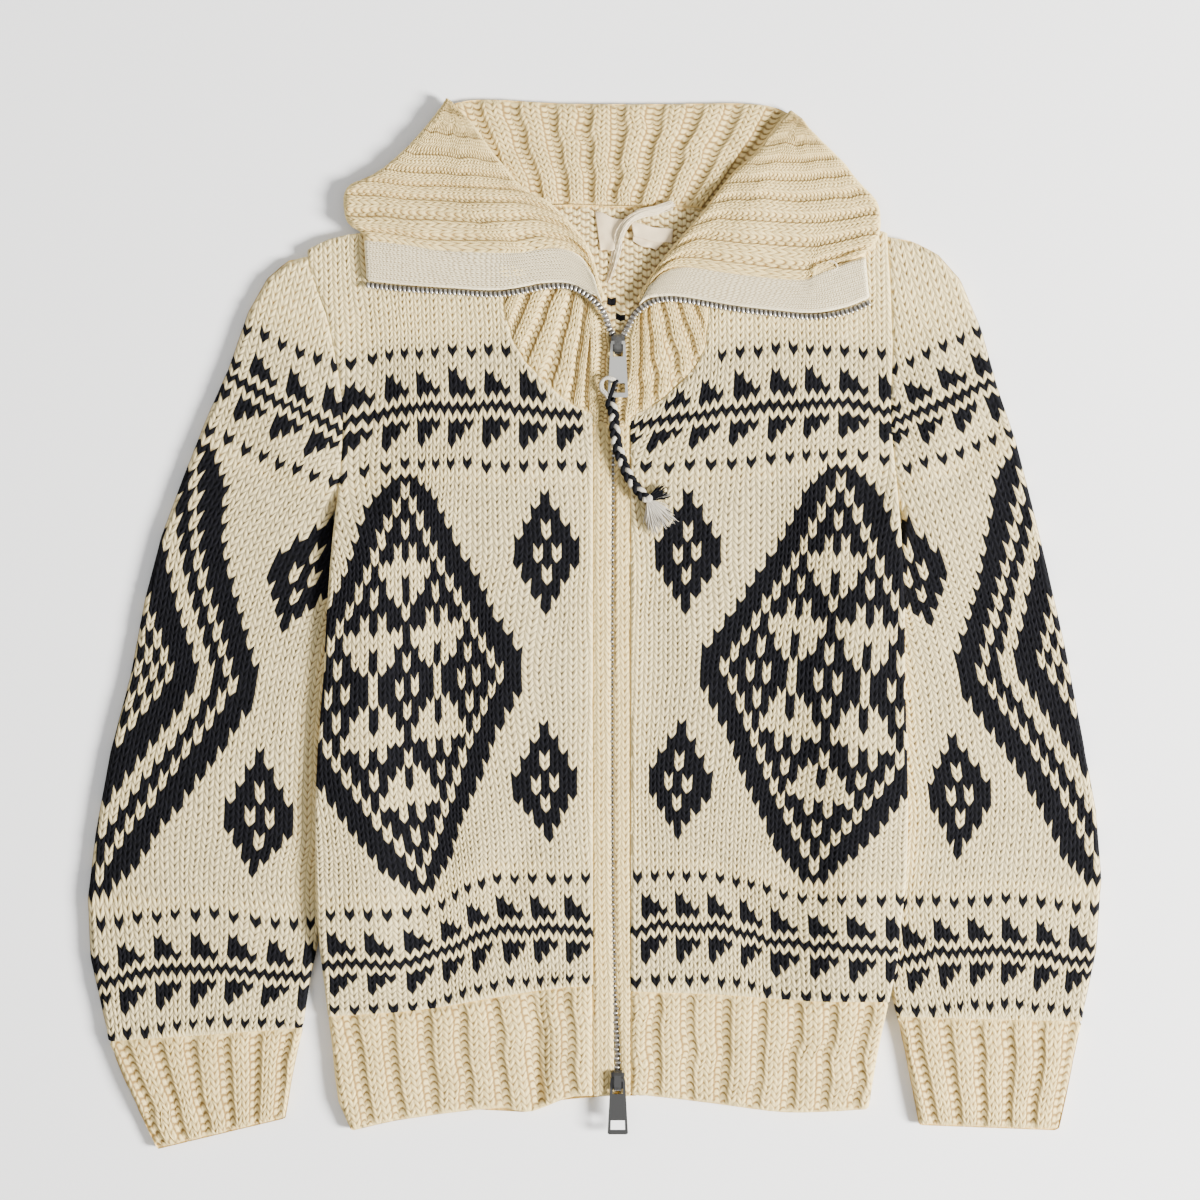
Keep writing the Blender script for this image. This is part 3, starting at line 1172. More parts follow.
SHOULDERS = [
    Point(-230, 280), Point(-215, 288), Point(-200, 292), Point(-150, 298), Point(-84, 308),
    Point(78, 308), Point(150, 301), Point(190, 297), Point(207, 294),
]


def read_smooth(keys, values, at):
    """Read a table through the smooth curve of its points."""
    keys = np.asarray(keys, float)
    values = np.asarray(values, float)
    at = np.clip(np.asarray(at, float), keys[0], keys[-1])
    i = np.clip(np.searchsorted(keys, at, side="right") - 1, 0, len(keys) - 2)

    def slope(k):
        a = np.maximum(k - 1, 0)
        b = np.minimum(k + 1, len(keys) - 1)
        return (values[b] - values[a]) / (keys[b] - keys[a])

    span = keys[i + 1] - keys[i]
    u = (at - keys[i]) / span
    rise = values[i + 1] - values[i]
    s0 = slope(i) * span
    s1 = slope(i + 1) * span
    return values[i] + u * s0 + u * u * (3 * rise - 2 * s0 - s1) + u ** 3 * (s0 + s1 - 2 * rise)


def along(points, u):
    keys = np.arange(len(points))
    k = np.clip(u, 0, 1) * (len(points) - 1)
    return (read_smooth(keys, [p.x for p in points], k),
            read_smooth(keys, [p.y for p in points], k))


def beside(points, u, away):
    """A point beside the smooth curve, at right angles to it and to the left of its run."""
    u = np.clip(u, 0, 1)
    x, y = along(points, u)
    ax, ay = along(points, np.maximum(u - 0.01, 0))
    bx, by = along(points, np.minimum(u + 0.01, 1))
    size = np.hypot(bx - ax, by - ay)
    return x - (by - ay) / size * away, y + (bx - ax) / size * away


def lapel_bed(x, y):
    """Underside of the folded-out collar: on the front, then down beyond the shoulder."""
    line = read_smooth([p.x for p in SHOULDERS], [p.y for p in SHOULDERS], x)
    left, right = COLLAR_SEAM[0].x, COLLAR_SEAM[-1].x
    share = np.abs(x) / np.where(x < 0, -left, right)
    arch = 330.0 + (308.0 - 330.0) * share
    line = np.where((x > left) & (x < right), arch, line)
    return LAPEL_OVER_FRONT + (LAPEL_OVER_COLLAR - LAPEL_OVER_FRONT) * step_up(2, 26, y - line)


def lapel_places(side, rows):
    """Ribs counted from the facing to the corner, rows from the free edge to the fold."""
    table = LAPEL_LEFT if side == "left" else LAPEL_RIGHT
    facing = FACING_TOP_LEFT if side == "left" else FACING_TOP_RIGHT
    up = 1 if side == "left" else -1
    keys = np.arange(len(table))

    def straight(k, u):
        ends = [read_straight(keys, [getattr(s, part) for s in table], k)
                for part in ("outer_x", "outer_y", "inner_x", "inner_y")]
        return ends[0] + (ends[2] - ends[0]) * u, ends[1] + (ends[3] - ends[1]) * u

    def place(c, t):
        u = t / rows
        v = c / LAPEL_RIBS
        x, y = straight(1 + v * (len(table) - 2), u)
        brow_x, brow_y = beside(facing, u * FACING_END, up * FACING_ROOM)
        start_x, start_y = straight(np.ones_like(u), u)
        bend = np.clip(1 - v, 0, 1.2) ** 3
        return x + bend * (brow_x - start_x), y + bend * (brow_y - start_y)
    return place


def between_places(low, high, ribs, rows, beyond=0.0):
    """Ribs from a lower to an upper edge table, and more of them, evenly, before the first."""
    def place(c, t):
        u = c / ribs
        v = 1 - t / rows
        ax, ay = along(low, u)
        bx, by = along(high, u)
        return ax + (bx - ax) * v + beyond * np.minimum(c, 0.0), ay + (by - ay) * v
    return place


def facing_places(side, columns, rows):
    """Fine knitting that runs along the zip's facing."""
    upper = FACING_TOP_LEFT if side == "left" else FACING_TOP_RIGHT
    lower = TEETH_LEFT if side == "left" else TEETH_RIGHT

    def place(c, t):
        u = FACING_END * t / rows
        v = c / columns
        ax, ay = along(lower, u)
        bx, by = along(upper, u)
        return ax + (bx - ax) * v, ay + (by - ay) * v
    return place


def zip_x(y):
    rows = ZIP_LINE[::-1]
    return read_smooth([p.y for p in rows], [p.x for p in rows], y)


# --- cloth pieces ---------------------------------------------------------------------------------

ARMHOLES = {
    "left": [Point(-229, 284), Point(-224, 260), Point(-208.5, 208), Point(-203, 178),
             Point(-201, 148), Point(-204, 107), Point(-205, 96)],
    "right": [Point(206, 284), Point(208, 260), Point(210, 208), Point(209, 178),
              Point(209, 148), Point(213, 107), Point(213.5, 96)],
}
CUFF_SEAMS = {
    "left": [Point(-377, -312), Point(-232.5, -302)],
    "right": [Point(352, -297), Point(214.5, -293.5)],
}
NECK_WINDOW = [Point(-100, 130), Point(100, 130), Point(100, 306), Point(76, 309),
               Point(66, 313), Point(52, 314), Point(0, 314), Point(-50, 315.5),
               Point(-60, 313.5), Point(-82, 308.5), Point(-100, 305)]

FRONT_CHARTS = {
    "left": Chart(tall=2, upper_dots=0, lower_dots=0, small=(16,), heart="flower"),
    "right": Chart(tall=0, upper_dots=0, lower_dots=1, small=(-16,), heart="flower"),
}
SLEEVE_CHARTS = {
    "left": Chart(tall=2, upper_dots=0, lower_dots=0, small=(16,), heart="lattice"),
    "right": Chart(tall=2, upper_dots=1, lower_dots=0, small=(-16,), heart="lattice"),
}


FOLDS = {
    "front_left": [Fold(-60, -150, -112, -255, 13, -1.6), Fold(-85, -150, -140, -245, 11, 1.0),
                   Fold(-60, -255, -58, -285, 14, -1.8), Fold(-190, 120, -165, 40, 12, -1.0),
                   Fold(-150, 236, -70, 205, 16, -0.9), Fold(-40, 60, -46, -70, 16, -0.7)],
    "front_right": [Fold(62, -170, 118, -238, 14, -1.5), Fold(95, -165, 150, -225, 12, 1.0),
                    Fold(196, 120, 172, 30, 13, -1.0), Fold(80, 205, 160, 232, 15, -0.9),
                    Fold(40, 40, 46, -90, 16, -0.8), Fold(150, 20, 188, -60, 15, -0.8)],
    "sleeve_left": [Fold(-300, 150, -232, 96, 12, -1.6), Fold(-322, 20, -240, -22, 15, -1.4),
                    Fold(-350, -120, -268, -150, 14, -1.1), Fold(-262, 200, -232, 150, 9, -1.2)],
    "sleeve_right": [Fold(298, 150, 236, 104, 12, -1.6), Fold(322, 10, 246, -30, 15, -1.4),
                     Fold(345, -110, 268, -150, 14, -1.1), Fold(262, 205, 238, 150, 9, -1.2)],
    "hem_left": [Fold(-58, -272, -54, -362, 7, -3.6), Fold(-140, -290, -136, -370, 12, -0.9),
                 Fold(-30, -280, -26, -355, 10, 0.8)],
    "hem_right": [Fold(70, -285, 66, -360, 12, -0.9), Fold(140, -285, 136, -365, 13, -1.0),
                  Fold(105, -285, 100, -360, 10, 0.7)],
    "collar_back": [Fold(-70, 372, -96, 330, 9, -1.2), Fold(80, 372, 98, 330, 9, -1.2)],
    "lapel_left": [Fold(-120, 352, -70, 262, 16, 1.6), Fold(-182, 300, -110, 300, 12, -0.8)],
    "lapel_right": [Fold(120, 345, 74, 265, 16, 1.6), Fold(186, 300, 116, 290, 12, -0.8)],
}


def distance_to(points, x, y):
    """Distance from an open line of points."""
    best = np.full(x.shape, 1e9)
    for a, b in zip(points, points[1:]):
        dx, dy = b.x - a.x, b.y - a.y
        u = np.clip(((x - a.x) * dx + (y - a.y) * dy) / (dx * dx + dy * dy), 0, 1)
        best = np.minimum(best, np.hypot(x - a.x - u * dx, y - a.y - u * dy))
    return best


def clear_of(points, room, chart_black, place):
    """Leave the stitches next to a seam cream."""
    def black(c, t):
        x, y = place(c, t)
        ragged = room + 2.2 * np.sin(1.9 * c + 0.7 * t)
        return chart_black(c, t) & (distance_to(points, x, y) > ragged)
    return black


def sew_front(side):
    name = "front_" + side
    knit = bpy.context.scene.cardigan_knit
    left = side == "left"
    place = front_places(FRONT_LEFT_SPREAD if left else FRONT_RIGHT_SPREAD,
                         FRONT_LEFT_COURSE if left else FRONT_RIGHT_COURSE)
    chart = FRONT_CHARTS[side]
    span = (-14, 23) if left else (-25, 13)
    fit = PLAIN_FIT._replace(node=name, relief=knit.relief / MM, wall=4.4, seed=11 if left else 23)

    def roll(x, y):
        away = distance_to(ARMHOLES[side], x, y)
        return np.where((np.abs(x) > 170) & (y < 96), step_up(0, 10, away), 0.0)

    piece, line, area = knit_cloth(
        name + "_knit", place, plain_weave(*span, knit.across), (-24, 92), knit.along, fit,
        black=clear_of(NECK_LEFT if left else NECK_RIGHT, 3.4,
                       lambda c, t: black_at(c, t, chart), place),
        roll=roll, carried=carried_at, folds=FOLDS[name])
    dress(piece, [finish_of("cream_wool"), finish_of("black_wool")],
          name, "knit", flat_size(line), area)
    return piece


def sew_sleeve(side):
    name = "sleeve_" + side
    knit = bpy.context.scene.cardigan_knit
    left = side == "left"
    place = sleeve_places(SLEEVE_LEFT_LINES if left else SLEEVE_RIGHT_LINES)
    chart = SLEEVE_CHARTS[side]
    span = (-4, 26) if left else (-28, 4)
    fit = PLAIN_FIT._replace(node=name, relief=knit.relief / MM, edge=4.6, drop=4.0, wall=0.9,
                             seed=31 if left else 43)

    def roll(x, y):
        away = np.minimum(distance_to(ARMHOLES[side], x, y), distance_to(CUFF_SEAMS[side], x, y))
        return step_up(2, 14, away)

    top, line, area = knit_cloth(
        name + "_knit", place, plain_weave(*span, knit.across), (-24, 92), knit.along, fit,
        black=lambda c, t: black_at(c, t, chart), roll=roll, carried=carried_at, folds=FOLDS[name])
    under_fit = fit._replace(side=-1.0, relief=0.8, sunk=0.8, seed=fit.seed + 1)
    under, _, _ = knit_cloth(
        name + "_under", place, plain_weave(*span, 2), (-24, 92), 2, under_fit,
        black=lambda c, t: black_at(c, t, chart), roll=roll, carried=carried_at)
    join_pieces(top, under)
    dress(top, [finish_of("cream_wool"), finish_of("black_wool")],
          name, "knit", flat_size(line, 2), 2 * area)
    return top


def join_pieces(kept, *others):
    """Join meshes into the first one, side by side on its unwrap, and drop the others."""
    every = [kept, *others]
    for k, piece in enumerate(every):
        data = piece.data.uv_layers["OFBake"].data
        uv = np.empty(len(data) * 2, np.float32)
        data.foreach_get("uv", uv)
        uv[0::2] = (uv[0::2] + k) / len(every)
        data.foreach_set("uv", uv)
    bm = bmesh.new()
    bm.from_mesh(kept.data)
    for other in others:
        bm.from_mesh(other.data)
    bm.to_mesh(kept.data)
    bm.free()
    for other in others:
        mesh = other.data
        bpy.data.objects.remove(other, do_unlink=True)
        bpy.data.meshes.remove(mesh)
    kept.data.uv_layers.active_index = 0


def sew_back():
    def place(c, t):
        x = c * 6.55
        y = (PHOTO_Y - 352.0) * PIXEL - t * 5.62
        return x + 0 * t, y + 0 * c

    fit = PLAIN_FIT._replace(node="back", relief=0.8, sunk=0.8, wall=4.2, side=-1.0, drop=1.2,
                             seed=51)
    chart = Chart(tall=2, upper_dots=0, lower_dots=0, small=(-16, 16), heart="flower")
    outside, cut, area = knit_cloth(
        "back_knit", place, plain_weave(-36, 36, 2), (-24, 100), 2, fit,
        black=lambda c, t: black_at(c, t, chart), carried=carried_at)
    window = np.array([(p.x, p.y) for p in NECK_WINDOW], float)
    purl = plain_weave(-18, 18, 6)
    purl = purl._replace(shift=purl.shift * 0.25, swell=0.35 + 0.65 * purl.swell,
                         purl=1.0 + np.round(purl.c + 0.01) % 2)
    inner_fit = PLAIN_FIT._replace(node="back", relief=1.8, sunk=0.4, wall=2.5, seed=53)

    def floats(c, t):
        return ((t == -7) & (c == 0)) | ((t == -5) & (c == 1))

    inside, window_cut, window_area = knit_cloth(
        "back_purl", place, purl, (-20, 26), 4, inner_fit, black=floats, edges=window)
    wools = [finish_of("cream_wool"), finish_of("black_wool")]
    dress(outside, wools, "back", "knit", flat_size(cut), area)
    dress(inside, wools, "back", "knit", flat_size(window_cut), window_area)


def sew_rib(name, node, place, weave, rows, fit, slot="rib", finish="rib_wool",
            along=4, roll=None, edges=None):
    """A ribbed piece of one layer."""
    piece, line, area = knit_cloth(name, place, weave, rows, along, fit, roll=roll, edges=edges,
                                   folds=FOLDS.get(node, ()))
    dress(piece, [finish_of(finish)], node, slot, flat_size(line), area)
    return piece


def sew_cuff(side):
    rungs = CUFF_LEFT_RUNGS if side == "left" else CUFF_RIGHT_RUNGS
    rows = 14
    name = "cuff_" + side
    fit = PLAIN_FIT._replace(node=name, relief=1.2, sunk=1.5, edge=4.6, drop=4.0, wall=0.9,
                             seed=61 if side == "left" else 63, smooth=14)
    weave = rib_weave(-1, 5)
    flat_weave = weave._replace(rise=weave.rise * 0.4)

    def roll(x, y):
        return step_up(2, 12, distance_to(CUFF_SEAMS[side], x, y))

    place = rung_places(rungs, rows)
    top, line, area = knit_cloth(name + "_rib", place, weave, (-4, rows + 6), 3, fit, roll=roll)
    under_fit = fit._replace(side=-1.0, relief=0.7, sunk=1.2, smooth=2)
    lower, _, _ = knit_cloth(name + "_rib_under", place, flat_weave, (-4, rows + 6), 2,
                             under_fit, roll=roll)
    join_pieces(top, lower)
    dress(top, [finish_of("rib_wool")], name, "rib", flat_size(line, 2), 2 * area)


def sew_hem(side):
    rungs = HEM_LEFT_RUNGS if side == "left" else HEM_RIGHT_RUNGS
    rows = 15
    name = "hem_" + side
    fit = PLAIN_FIT._replace(node=name, relief=1.2, sunk=1.2, drop=1.6, wall=4.4,
                             seed=65 if side == "left" else 67, smooth=10)
    sew_rib(name + "_rib", name, rung_places(rungs, rows), rib_weave(-1, 8),
            (-4, rows + 4), fit)


def sew_hem_back():
    rungs = [Rung(-10, 262, 1004, 262, 1112), Rung(0, 612, 1004, 612, 1112),
             Rung(10, 962, 1004, 962, 1112)]
    fit = PLAIN_FIT._replace(node="hem_back", relief=0.7, sunk=1.5, drop=1.2, wall=4.2,
                             side=-1.0, seed=69, smooth=4)
    weave = rib_weave(-9, 9, across=4, purl=3, rise=0.6, sink=0.6)
    sew_rib("hem_back_rib", "hem_back", rung_places(rungs, 15), weave, (-6, 22), fit,
            along=2)


def sew_collar_back():
    rows = 19
    fit = PLAIN_FIT._replace(node="collar_back", relief=1.2, sunk=1.3, wall=4.4, seed=71,
                             smooth=10)
    weave = rib_weave(-1, 10, share=0.56)
    piece, line, area = knit_cloth("collar_back_rib", rung_places(COLLAR_RUNGS, rows), weave,
                                   (-5, rows + 5), 3, fit, folds=FOLDS["collar_back"])
    under_fit = fit._replace(side=-1.0, relief=0.6, sunk=1.2, smooth=2, wall=1.0)
    under, _, _ = knit_cloth("collar_under", rung_places(COLLAR_RUNGS, rows),
                             rib_weave(-1, 10, across=4, purl=3, rise=0.5, sink=0.5, share=0.56),
                             (-5, rows + 5), 2, under_fit)
    join_pieces(piece, under)
    dress(piece, [finish_of("rib_wool")], "collar_back", "rib", flat_size(line, 2), 2 * area)


def sew_lapel(side):
    name = "lapel_" + side
    rows = 34
    fit = PLAIN_FIT._replace(node=name, relief=1.2, sunk=1.1, edge=3.4, drop=2.2, wall=3.6,
                             seed=73 if side == "left" else 75, smooth=3, inset=4.0)
    sew_rib(name + "_rib", name, lapel_places(side, rows),
            rib_weave(-2, 9, share=0.6), (-4, rows + 4), fit)


INSET_FOOT = 150.0      # the edge bands end here, under the inset's ribs
ZIP_REACH = {"left": 13.5, "right": 9.0}    # a band's points this near the zip are its inner edge
ZIP_GAP = 1.1           # from the middle of the chain to a band's edge
SLIDER_GAP = 1.5        # more room beside the lower slider
SLIDER_ENDS = (-300, -286)
INSET_CUTS = {
    "left": [Point(-84, 262), Point(-64, 264), Point(-47, 262), Point(-30, 259), Point(-19, 251),
             Point(-11, 240), Point(-5, 229), Point(-2.4, 216), Point(-1, 196),
             Point(0.2, 170), Point(0.2, INSET_FOOT), Point(-14.5, INSET_FOOT)],
    "right": [Point(71, 262), Point(60, 256), Point(43, 254), Point(28, 247), Point(18.5, 237),
              Point(12.5, 226), Point(9.5, 214), Point(6.6, 196), Point(3.4, 170),
              Point(2.6, INSET_FOOT), Point(14, INSET_FOOT)],
}


def sew_inset(side):
    name = "inset_" + side
    low = NECK_LEFT if side == "left" else NECK_RIGHT
    high = INSET_TOP_LEFT if side == "left" else INSET_TOP_RIGHT
    rows = 12
    fit = PLAIN_FIT._replace(node=name, relief=1.1, sunk=1.0, drop=1.0, wall=4.0,
                             seed=77 if side == "left" else 79, smooth=8, inset=4.0)
    cut = np.array([(p.x, p.y) for p in INSET_CUTS[side] + low], float)
    place = between_places(low, high, 6, rows, -16.0 if side == "left" else 16.0)
    sew_rib(name + "_rib", name, place, rib_weave(-2, 6, share=0.58), (-18, rows + 6), fit,
            edges=cut)


def band_edges(side):
    """The band's edge line, let out over the zip's chain so that only a thin gap is left."""
    line = outline_of("band_" + side).copy()
    way = -1 if side == "left" else 1
    near = way * (line[:, 0] - zip_x(line[:, 1])) < ZIP_REACH[side]
    gap = ZIP_GAP + SLIDER_GAP * (1 - step_up(*SLIDER_ENDS, line[:, 1]))
    line[near, 0] = (zip_x(line[:, 1]) + way * gap)[near]
    line[:, 1] = np.minimum(line[:, 1], INSET_FOOT)
    return line


def sew_band(side):
    name = "band_" + side
    start = -15.5 if side == "left" else 2.6

    def place(c, t):
        x = start + c * 6.4 + np.interp((PHOTO_Y - 427) * PIXEL - t * 5.4,
                                        [-353, -250, 0, 200], [3.0, 1.0, 0.0, 2.0])
        return x, (PHOTO_Y - 353) * PIXEL - t * 5.4
    fit = PLAIN_FIT._replace(node=name, relief=1.1, sunk=0.9, drop=1.4, wall=4.0,
                             seed=81 if side == "left" else 83, smooth=2, inset=3.0)
    sew_rib(name + "_rib", name, place, plain_weave(-2, 4, 6), (-3, 106), fit,
            along=3, edges=band_edges(side))


def lay_facing(side):
    name = "facing_" + side
    rows, columns = 76, 11
    fit = PLAIN_FIT._replace(node=name, relief=1.0, sunk=0.7, edge=2.2, drop=1.4, wall=1.4,
                             seed=85 if side == "left" else 87, smooth=2, inset=3.0)
    sew_rib(name + "_tape", name, facing_places(side, columns, rows),
            plain_weave(-3, columns + 3, 4), (-4, rows + 8), fit,
            slot="facing", finish="facing_tape", along=2)


Flap = namedtuple("Flap", "top_left top_right foot_right foot_left lift puff")
LABEL_FLAPS = [
    Flap((-12.9, 310.5), (8.0, 304.0), (3.0, 281.5), (-8.6, 281.0), (5.6, 7.2), 0.8),
    Flap((14.0, 302.0), (46.0, 296.5), (45.0, 286.0), (16.5, 290.5), (8.0, 6.2), 1.6),
    Flap((16.0, 295.0), (40.0, 287.5), (33.0, 281.0), (15.5, 287.5), (6.6, 5.8), 0.8),
]
LABEL_WALL = 0.35
YARN_FIBRES = 46
YARN_STEPS = 36
LOOSE_YARN = [(44, 315.5, 6.4), (34, 311.5, 7.4), (22, 308.5, 9.0), (12.5, 302.5, 10.2),
              (6.6, 293, 9.8), (4.0, 282, 8.2), (1.0, 269, 7.0), (-3.6, 257, 6.4)]


def sew_label():
    """The bare satin label, crumpled in two, with a loose yarn end lying over it."""
    across, down = 30, 18
    s, v = np.meshgrid(np.linspace(0, 1, across + 1), np.linspace(0, 1, down + 1))
    index = np.arange(s.size).reshape(s.shape)
    cells = np.stack([index[:-1, :-1], index[1:, :-1], index[1:, 1:], index[:-1, 1:]],
                     axis=-1).reshape(-1, 4)
    points, uv, quads = [], [], []
    for k, flap in enumerate(LABEL_FLAPS):
        x, y = [(1 - v) * ((1 - s) * flap.top_left[i] + s * flap.top_right[i])
                + v * ((1 - s) * flap.foot_left[i] + s * flap.foot_right[i]) for i in (0, 1)]
        z = (1 - s) * flap.lift[0] + s * flap.lift[1]
        z = z + flap.puff * np.sin(math.pi * s) * (0.4 + 0.6 * (1 - v))
        z = z + 0.5 * np.sin(6.0 * s + 3.0 * v + k) + 0.4 * soft_noise(x * 0.2, y * 0.2, 91 + k)
        points.append(np.stack([x, y + 0.7 * np.sin(7 * s + k), z], axis=-1).reshape(-1, 3))
        uv.append(np.stack([(k + 0.02 + 0.96 * s) / len(LABEL_FLAPS), 1 - v],
                           axis=-1).reshape(-1, 2))
        quads.append(cells + k * s.size)
    quads = np.concatenate(quads)
    piece = mesh_piece("label_satin_strip", np.concatenate(points), quads, np.zeros(len(quads)),
                       np.concatenate(uv), {})
    piece.data.materials.append(finish_of("label_satin"))
    solid = piece.modifiers.new("thickness", "SOLIDIFY")
    solid.thickness = LABEL_WALL * MM
    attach(piece, "garment")
    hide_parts("label")
    strands = []
    rng = np.random.default_rng(29)
    taper = np.interp(np.linspace(0, 1, YARN_STEPS), (0, 0.8, 1), (1.0, 0.9, 0.2))
    for _ in range(YARN_FIBRES):
        turn, reach = rng.uniform(0, 6.28), rng.uniform(0.3, 3.8)
        stations = [(x + reach * math.cos(turn + 0.7 * i) + rng.uniform(-0.9, 0.9),
                     y + reach * math.sin(turn + 0.7 * i),
                     z - 0.35 * reach + 0.7 * math.sin(turn + 0.9 * i))
                    for i, (x, y, z) in enumerate(LOOSE_YARN)]
        last = rng.integers(4, len(stations) + 1)
        thick = taper * rng.uniform(0.3, 0.62)
        strands.append((*strand_along(stations[:last], thick, YARN_STEPS), 0))
    yarn_piece("loose_yarn", strands, ["loose_wool"], "garment")
    x = np.array([159.2, 162.2, 166.5, 168.2, 163.0, 157.0])
    y = np.array([268.6, 272.2, 271.0, 267.0, 264.4, 265.0])
    thread = list(zip(x, y, lapel_bed(x, y) + np.array([2.6, 3.4, 3.8, 3.6, 3.2, 2.4])))
    yarn_piece("loose_thread", [(*strand_along(thread, 0.75), 0)], ["loose_wool"], "garment")


# --- zip, cord and tuft ----------------------------------------------------------------------------

BRAID_TURN = 17.0       # one whole crossing of the three strands
BRAID_SWING = 2.45      # a strand's way to each side
BRAID_DIP = 1.5         # and up and down
STRAND_RADIUS = 1.85
BRAID_ROUTE = [
    (-2.0, 168.6, 14.3), (-0.5, 163.5, 14.3), (1.4, 157, 14.3), (2.0, 147, 14.3),
    (3.8, 134, 14.3), (7.5, 123, 14.3), (12.0, 112, 14.3), (18.0, 103, 14.6),
    (26.0, 93.5, 15.04),
]
TASSEL_HEAD = (30.4, 88.6, 14.6)


def swept(path, radius, sides, squash=1.0):
    """Points and faces of a round yarn along a path, in millimetres."""
    path = np.asarray(path, float)
    count = len(path)
    radius = np.broadcast_to(radius, (count,))
    run = np.gradient(path, axis=0)
    run /= np.maximum(np.linalg.norm(run, axis=1, keepdims=True), 1e-9)
    up = np.array([0.0, 0.0, 1.0])
    across = np.cross(run, up)
    size = np.linalg.norm(across, axis=1, keepdims=True)
    across = np.where(size < 0.05, np.array([[1.0, 0.0, 0.0]]), across / np.maximum(size, 1e-9))
    lift_dir = np.cross(across, run)
    angles = np.arange(sides) * 2 * math.pi / sides
    ring = (across[:, None, :] * np.cos(angles)[None, :, None]
            + lift_dir[:, None, :] * np.sin(angles)[None, :, None] * squash)
    points = path[:, None, :] + ring * radius[:, None, None]
    index = np.arange(count * sides).reshape(count, sides)
    after = np.roll(index, -1, axis=1)
    quads = np.stack([index[:-1], index[1:], after[1:], after[:-1]], axis=-1).reshape(-1, 4)
    j = np.tile(np.arange(sides), count - 1)
    i = np.repeat(np.arange(count - 1), sides)
    u = np.stack([j, j, j + 1, j + 1], axis=1) / sides
    v = np.stack([i, i + 1, i + 1, i], axis=1) / (count - 1)
    return points.reshape(-1, 3), quads, np.stack([u.ravel(), v.ravel()], axis=1)


def gather(parts):
    """Put several (points, quads, uv, slot) parts into one list each."""
    points, quads, uv, slots = [], [], [], []
    offset = 0
    for p, q, t, s in parts:
        points.append(p)
        quads.append(q + offset)
        uv.append(t)
        slots.append(np.full(len(q), s))
        offset += len(p)
    return (np.concatenate(points), np.concatenate(quads), np.concatenate(uv),
            np.concatenate(slots))


def yarn_piece(name, parts, materials, body, node=None):
    points, quads, uv, slots = gather(parts)
    thread = uv * np.array([[2.0, 12.0]])
    piece = mesh_piece(name, points, quads, slots, uv, {
        "loft": np.full(len(points), 0.8), "tone": np.zeros(len(points))}, thread, "flat")
    for material in materials:
        piece.data.materials.append(finish_of(material))
    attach(piece, body)
    if node:
        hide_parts(node)
    return piece


def route_points(count):
    """The braid's centreline at even steps."""
    keys = np.arange(len(BRAID_ROUTE))
    k = np.linspace(0, len(BRAID_ROUTE) - 1, 400)
    dense = np.stack([read_smooth(keys, [p[i] for p in BRAID_ROUTE], k) for i in range(3)],
                     axis=1)
    steps = np.concatenate([[0], np.cumsum(np.linalg.norm(np.diff(dense, axis=0), axis=1))])
    at = np.linspace(0, steps[-1], count)
    return np.stack([np.interp(at, steps, dense[:, i]) for i in range(3)], axis=1), steps[-1]


Tuft = namedtuple("Tuft", "strands aim_x aim_y spread short long finish start_x start_y")
TUFTS = [
    Tuft(190, 0.52, -0.85, 10.0, 11, 25, 1, 27.5, 92.5),
    Tuft(90, 0.90, 0.42, 4.6, 8, 15, 0, 28.5, 95.0),
]
TUFT_BED = 12.4         # height of the knitted front under the tuft


def hang_tassel():
    """A tuft of loose wool ends: a short black one and a grey-white one that fans out."""
    rng = np.random.default_rng(7)
    head = np.array(TASSEL_HEAD)
    parts = []
    for tuft in TUFTS:
        aim = np.array([tuft.aim_x, tuft.aim_y, 0.0])
        aim /= np.linalg.norm(aim)
        side = np.array([-aim[1], aim[0], 0.0])
        for _ in range(tuft.strands):
            length = rng.uniform(tuft.short, tuft.long)
            sway, rise = rng.uniform(-1, 1, 2)
            s = np.linspace(0, 1, 9)[:, None]
            start = np.array([tuft.start_x, tuft.start_y, head[2]]) + side * sway * 1.6
            bend = side * (sway * tuft.spread * s ** 0.9
                           + 1.1 * np.sin(3 * s + rng.uniform(0, 6)) * s)
            path = start + aim * length * s + bend
            path[:, 2] += 1.7 * rise * (0.5 + s[:, 0]) - 1.8 * s[:, 0] ** 2
            path[:, 2] = np.maximum(path[:, 2], TUFT_BED + 0.5 * abs(rise))
            radius = np.interp(s[:, 0], (0, 0.2, 0.8, 1), (0.45, 0.5, 0.34, 0.12))
            finish = tuft.finish if rng.random() < 0.93 else 1 - tuft.finish
            parts.append((*swept(path, radius, 5), finish))
    aim = np.array([0.5, -0.86, 0.0])
    knot = np.stack([np.array([27.0, 94.5, head[2]]) + aim * (1.0 * k - 3.0) for k in range(7)])
    parts.append((*swept(knot, np.array([2.0, 3.0, 3.6, 3.8, 3.6, 3.0, 2.0]), 14), 1))
    return yarn_piece("tassel_tuft", parts, ["black_wool", "tuft_wool"], "top_pull",
                      "tassel")


TAB_STRANDS = {
    "tuft_wool": [(1.6, 183.2, 13.2), (-0.4, 184.2, 15.0), (-4.6, 184.8, 15.2), (-7.8, 181.6, 14.2),
                  (-7.6, 176.4, 13.8), (-4.2, 172.6, 14.2), (-2.2, 168.8, 14.4)],
    "black_wool": [(3.6, 182.6, 13.0), (1.6, 180.6, 14.8), (0.8, 177.4, 15.6), (-0.4, 173.6, 15.2),
                   (-2.0, 169.4, 14.6)],
}


def strand_along(stations, radius, count=40):
    """A tube of yarn through some points."""
    k = np.linspace(0, len(stations) - 1, count)
    keys = np.arange(len(stations))
    path = np.stack([read_smooth(keys, [p[i] for p in stations], k) for i in range(3)], axis=1)
    return swept(path, radius, 8)


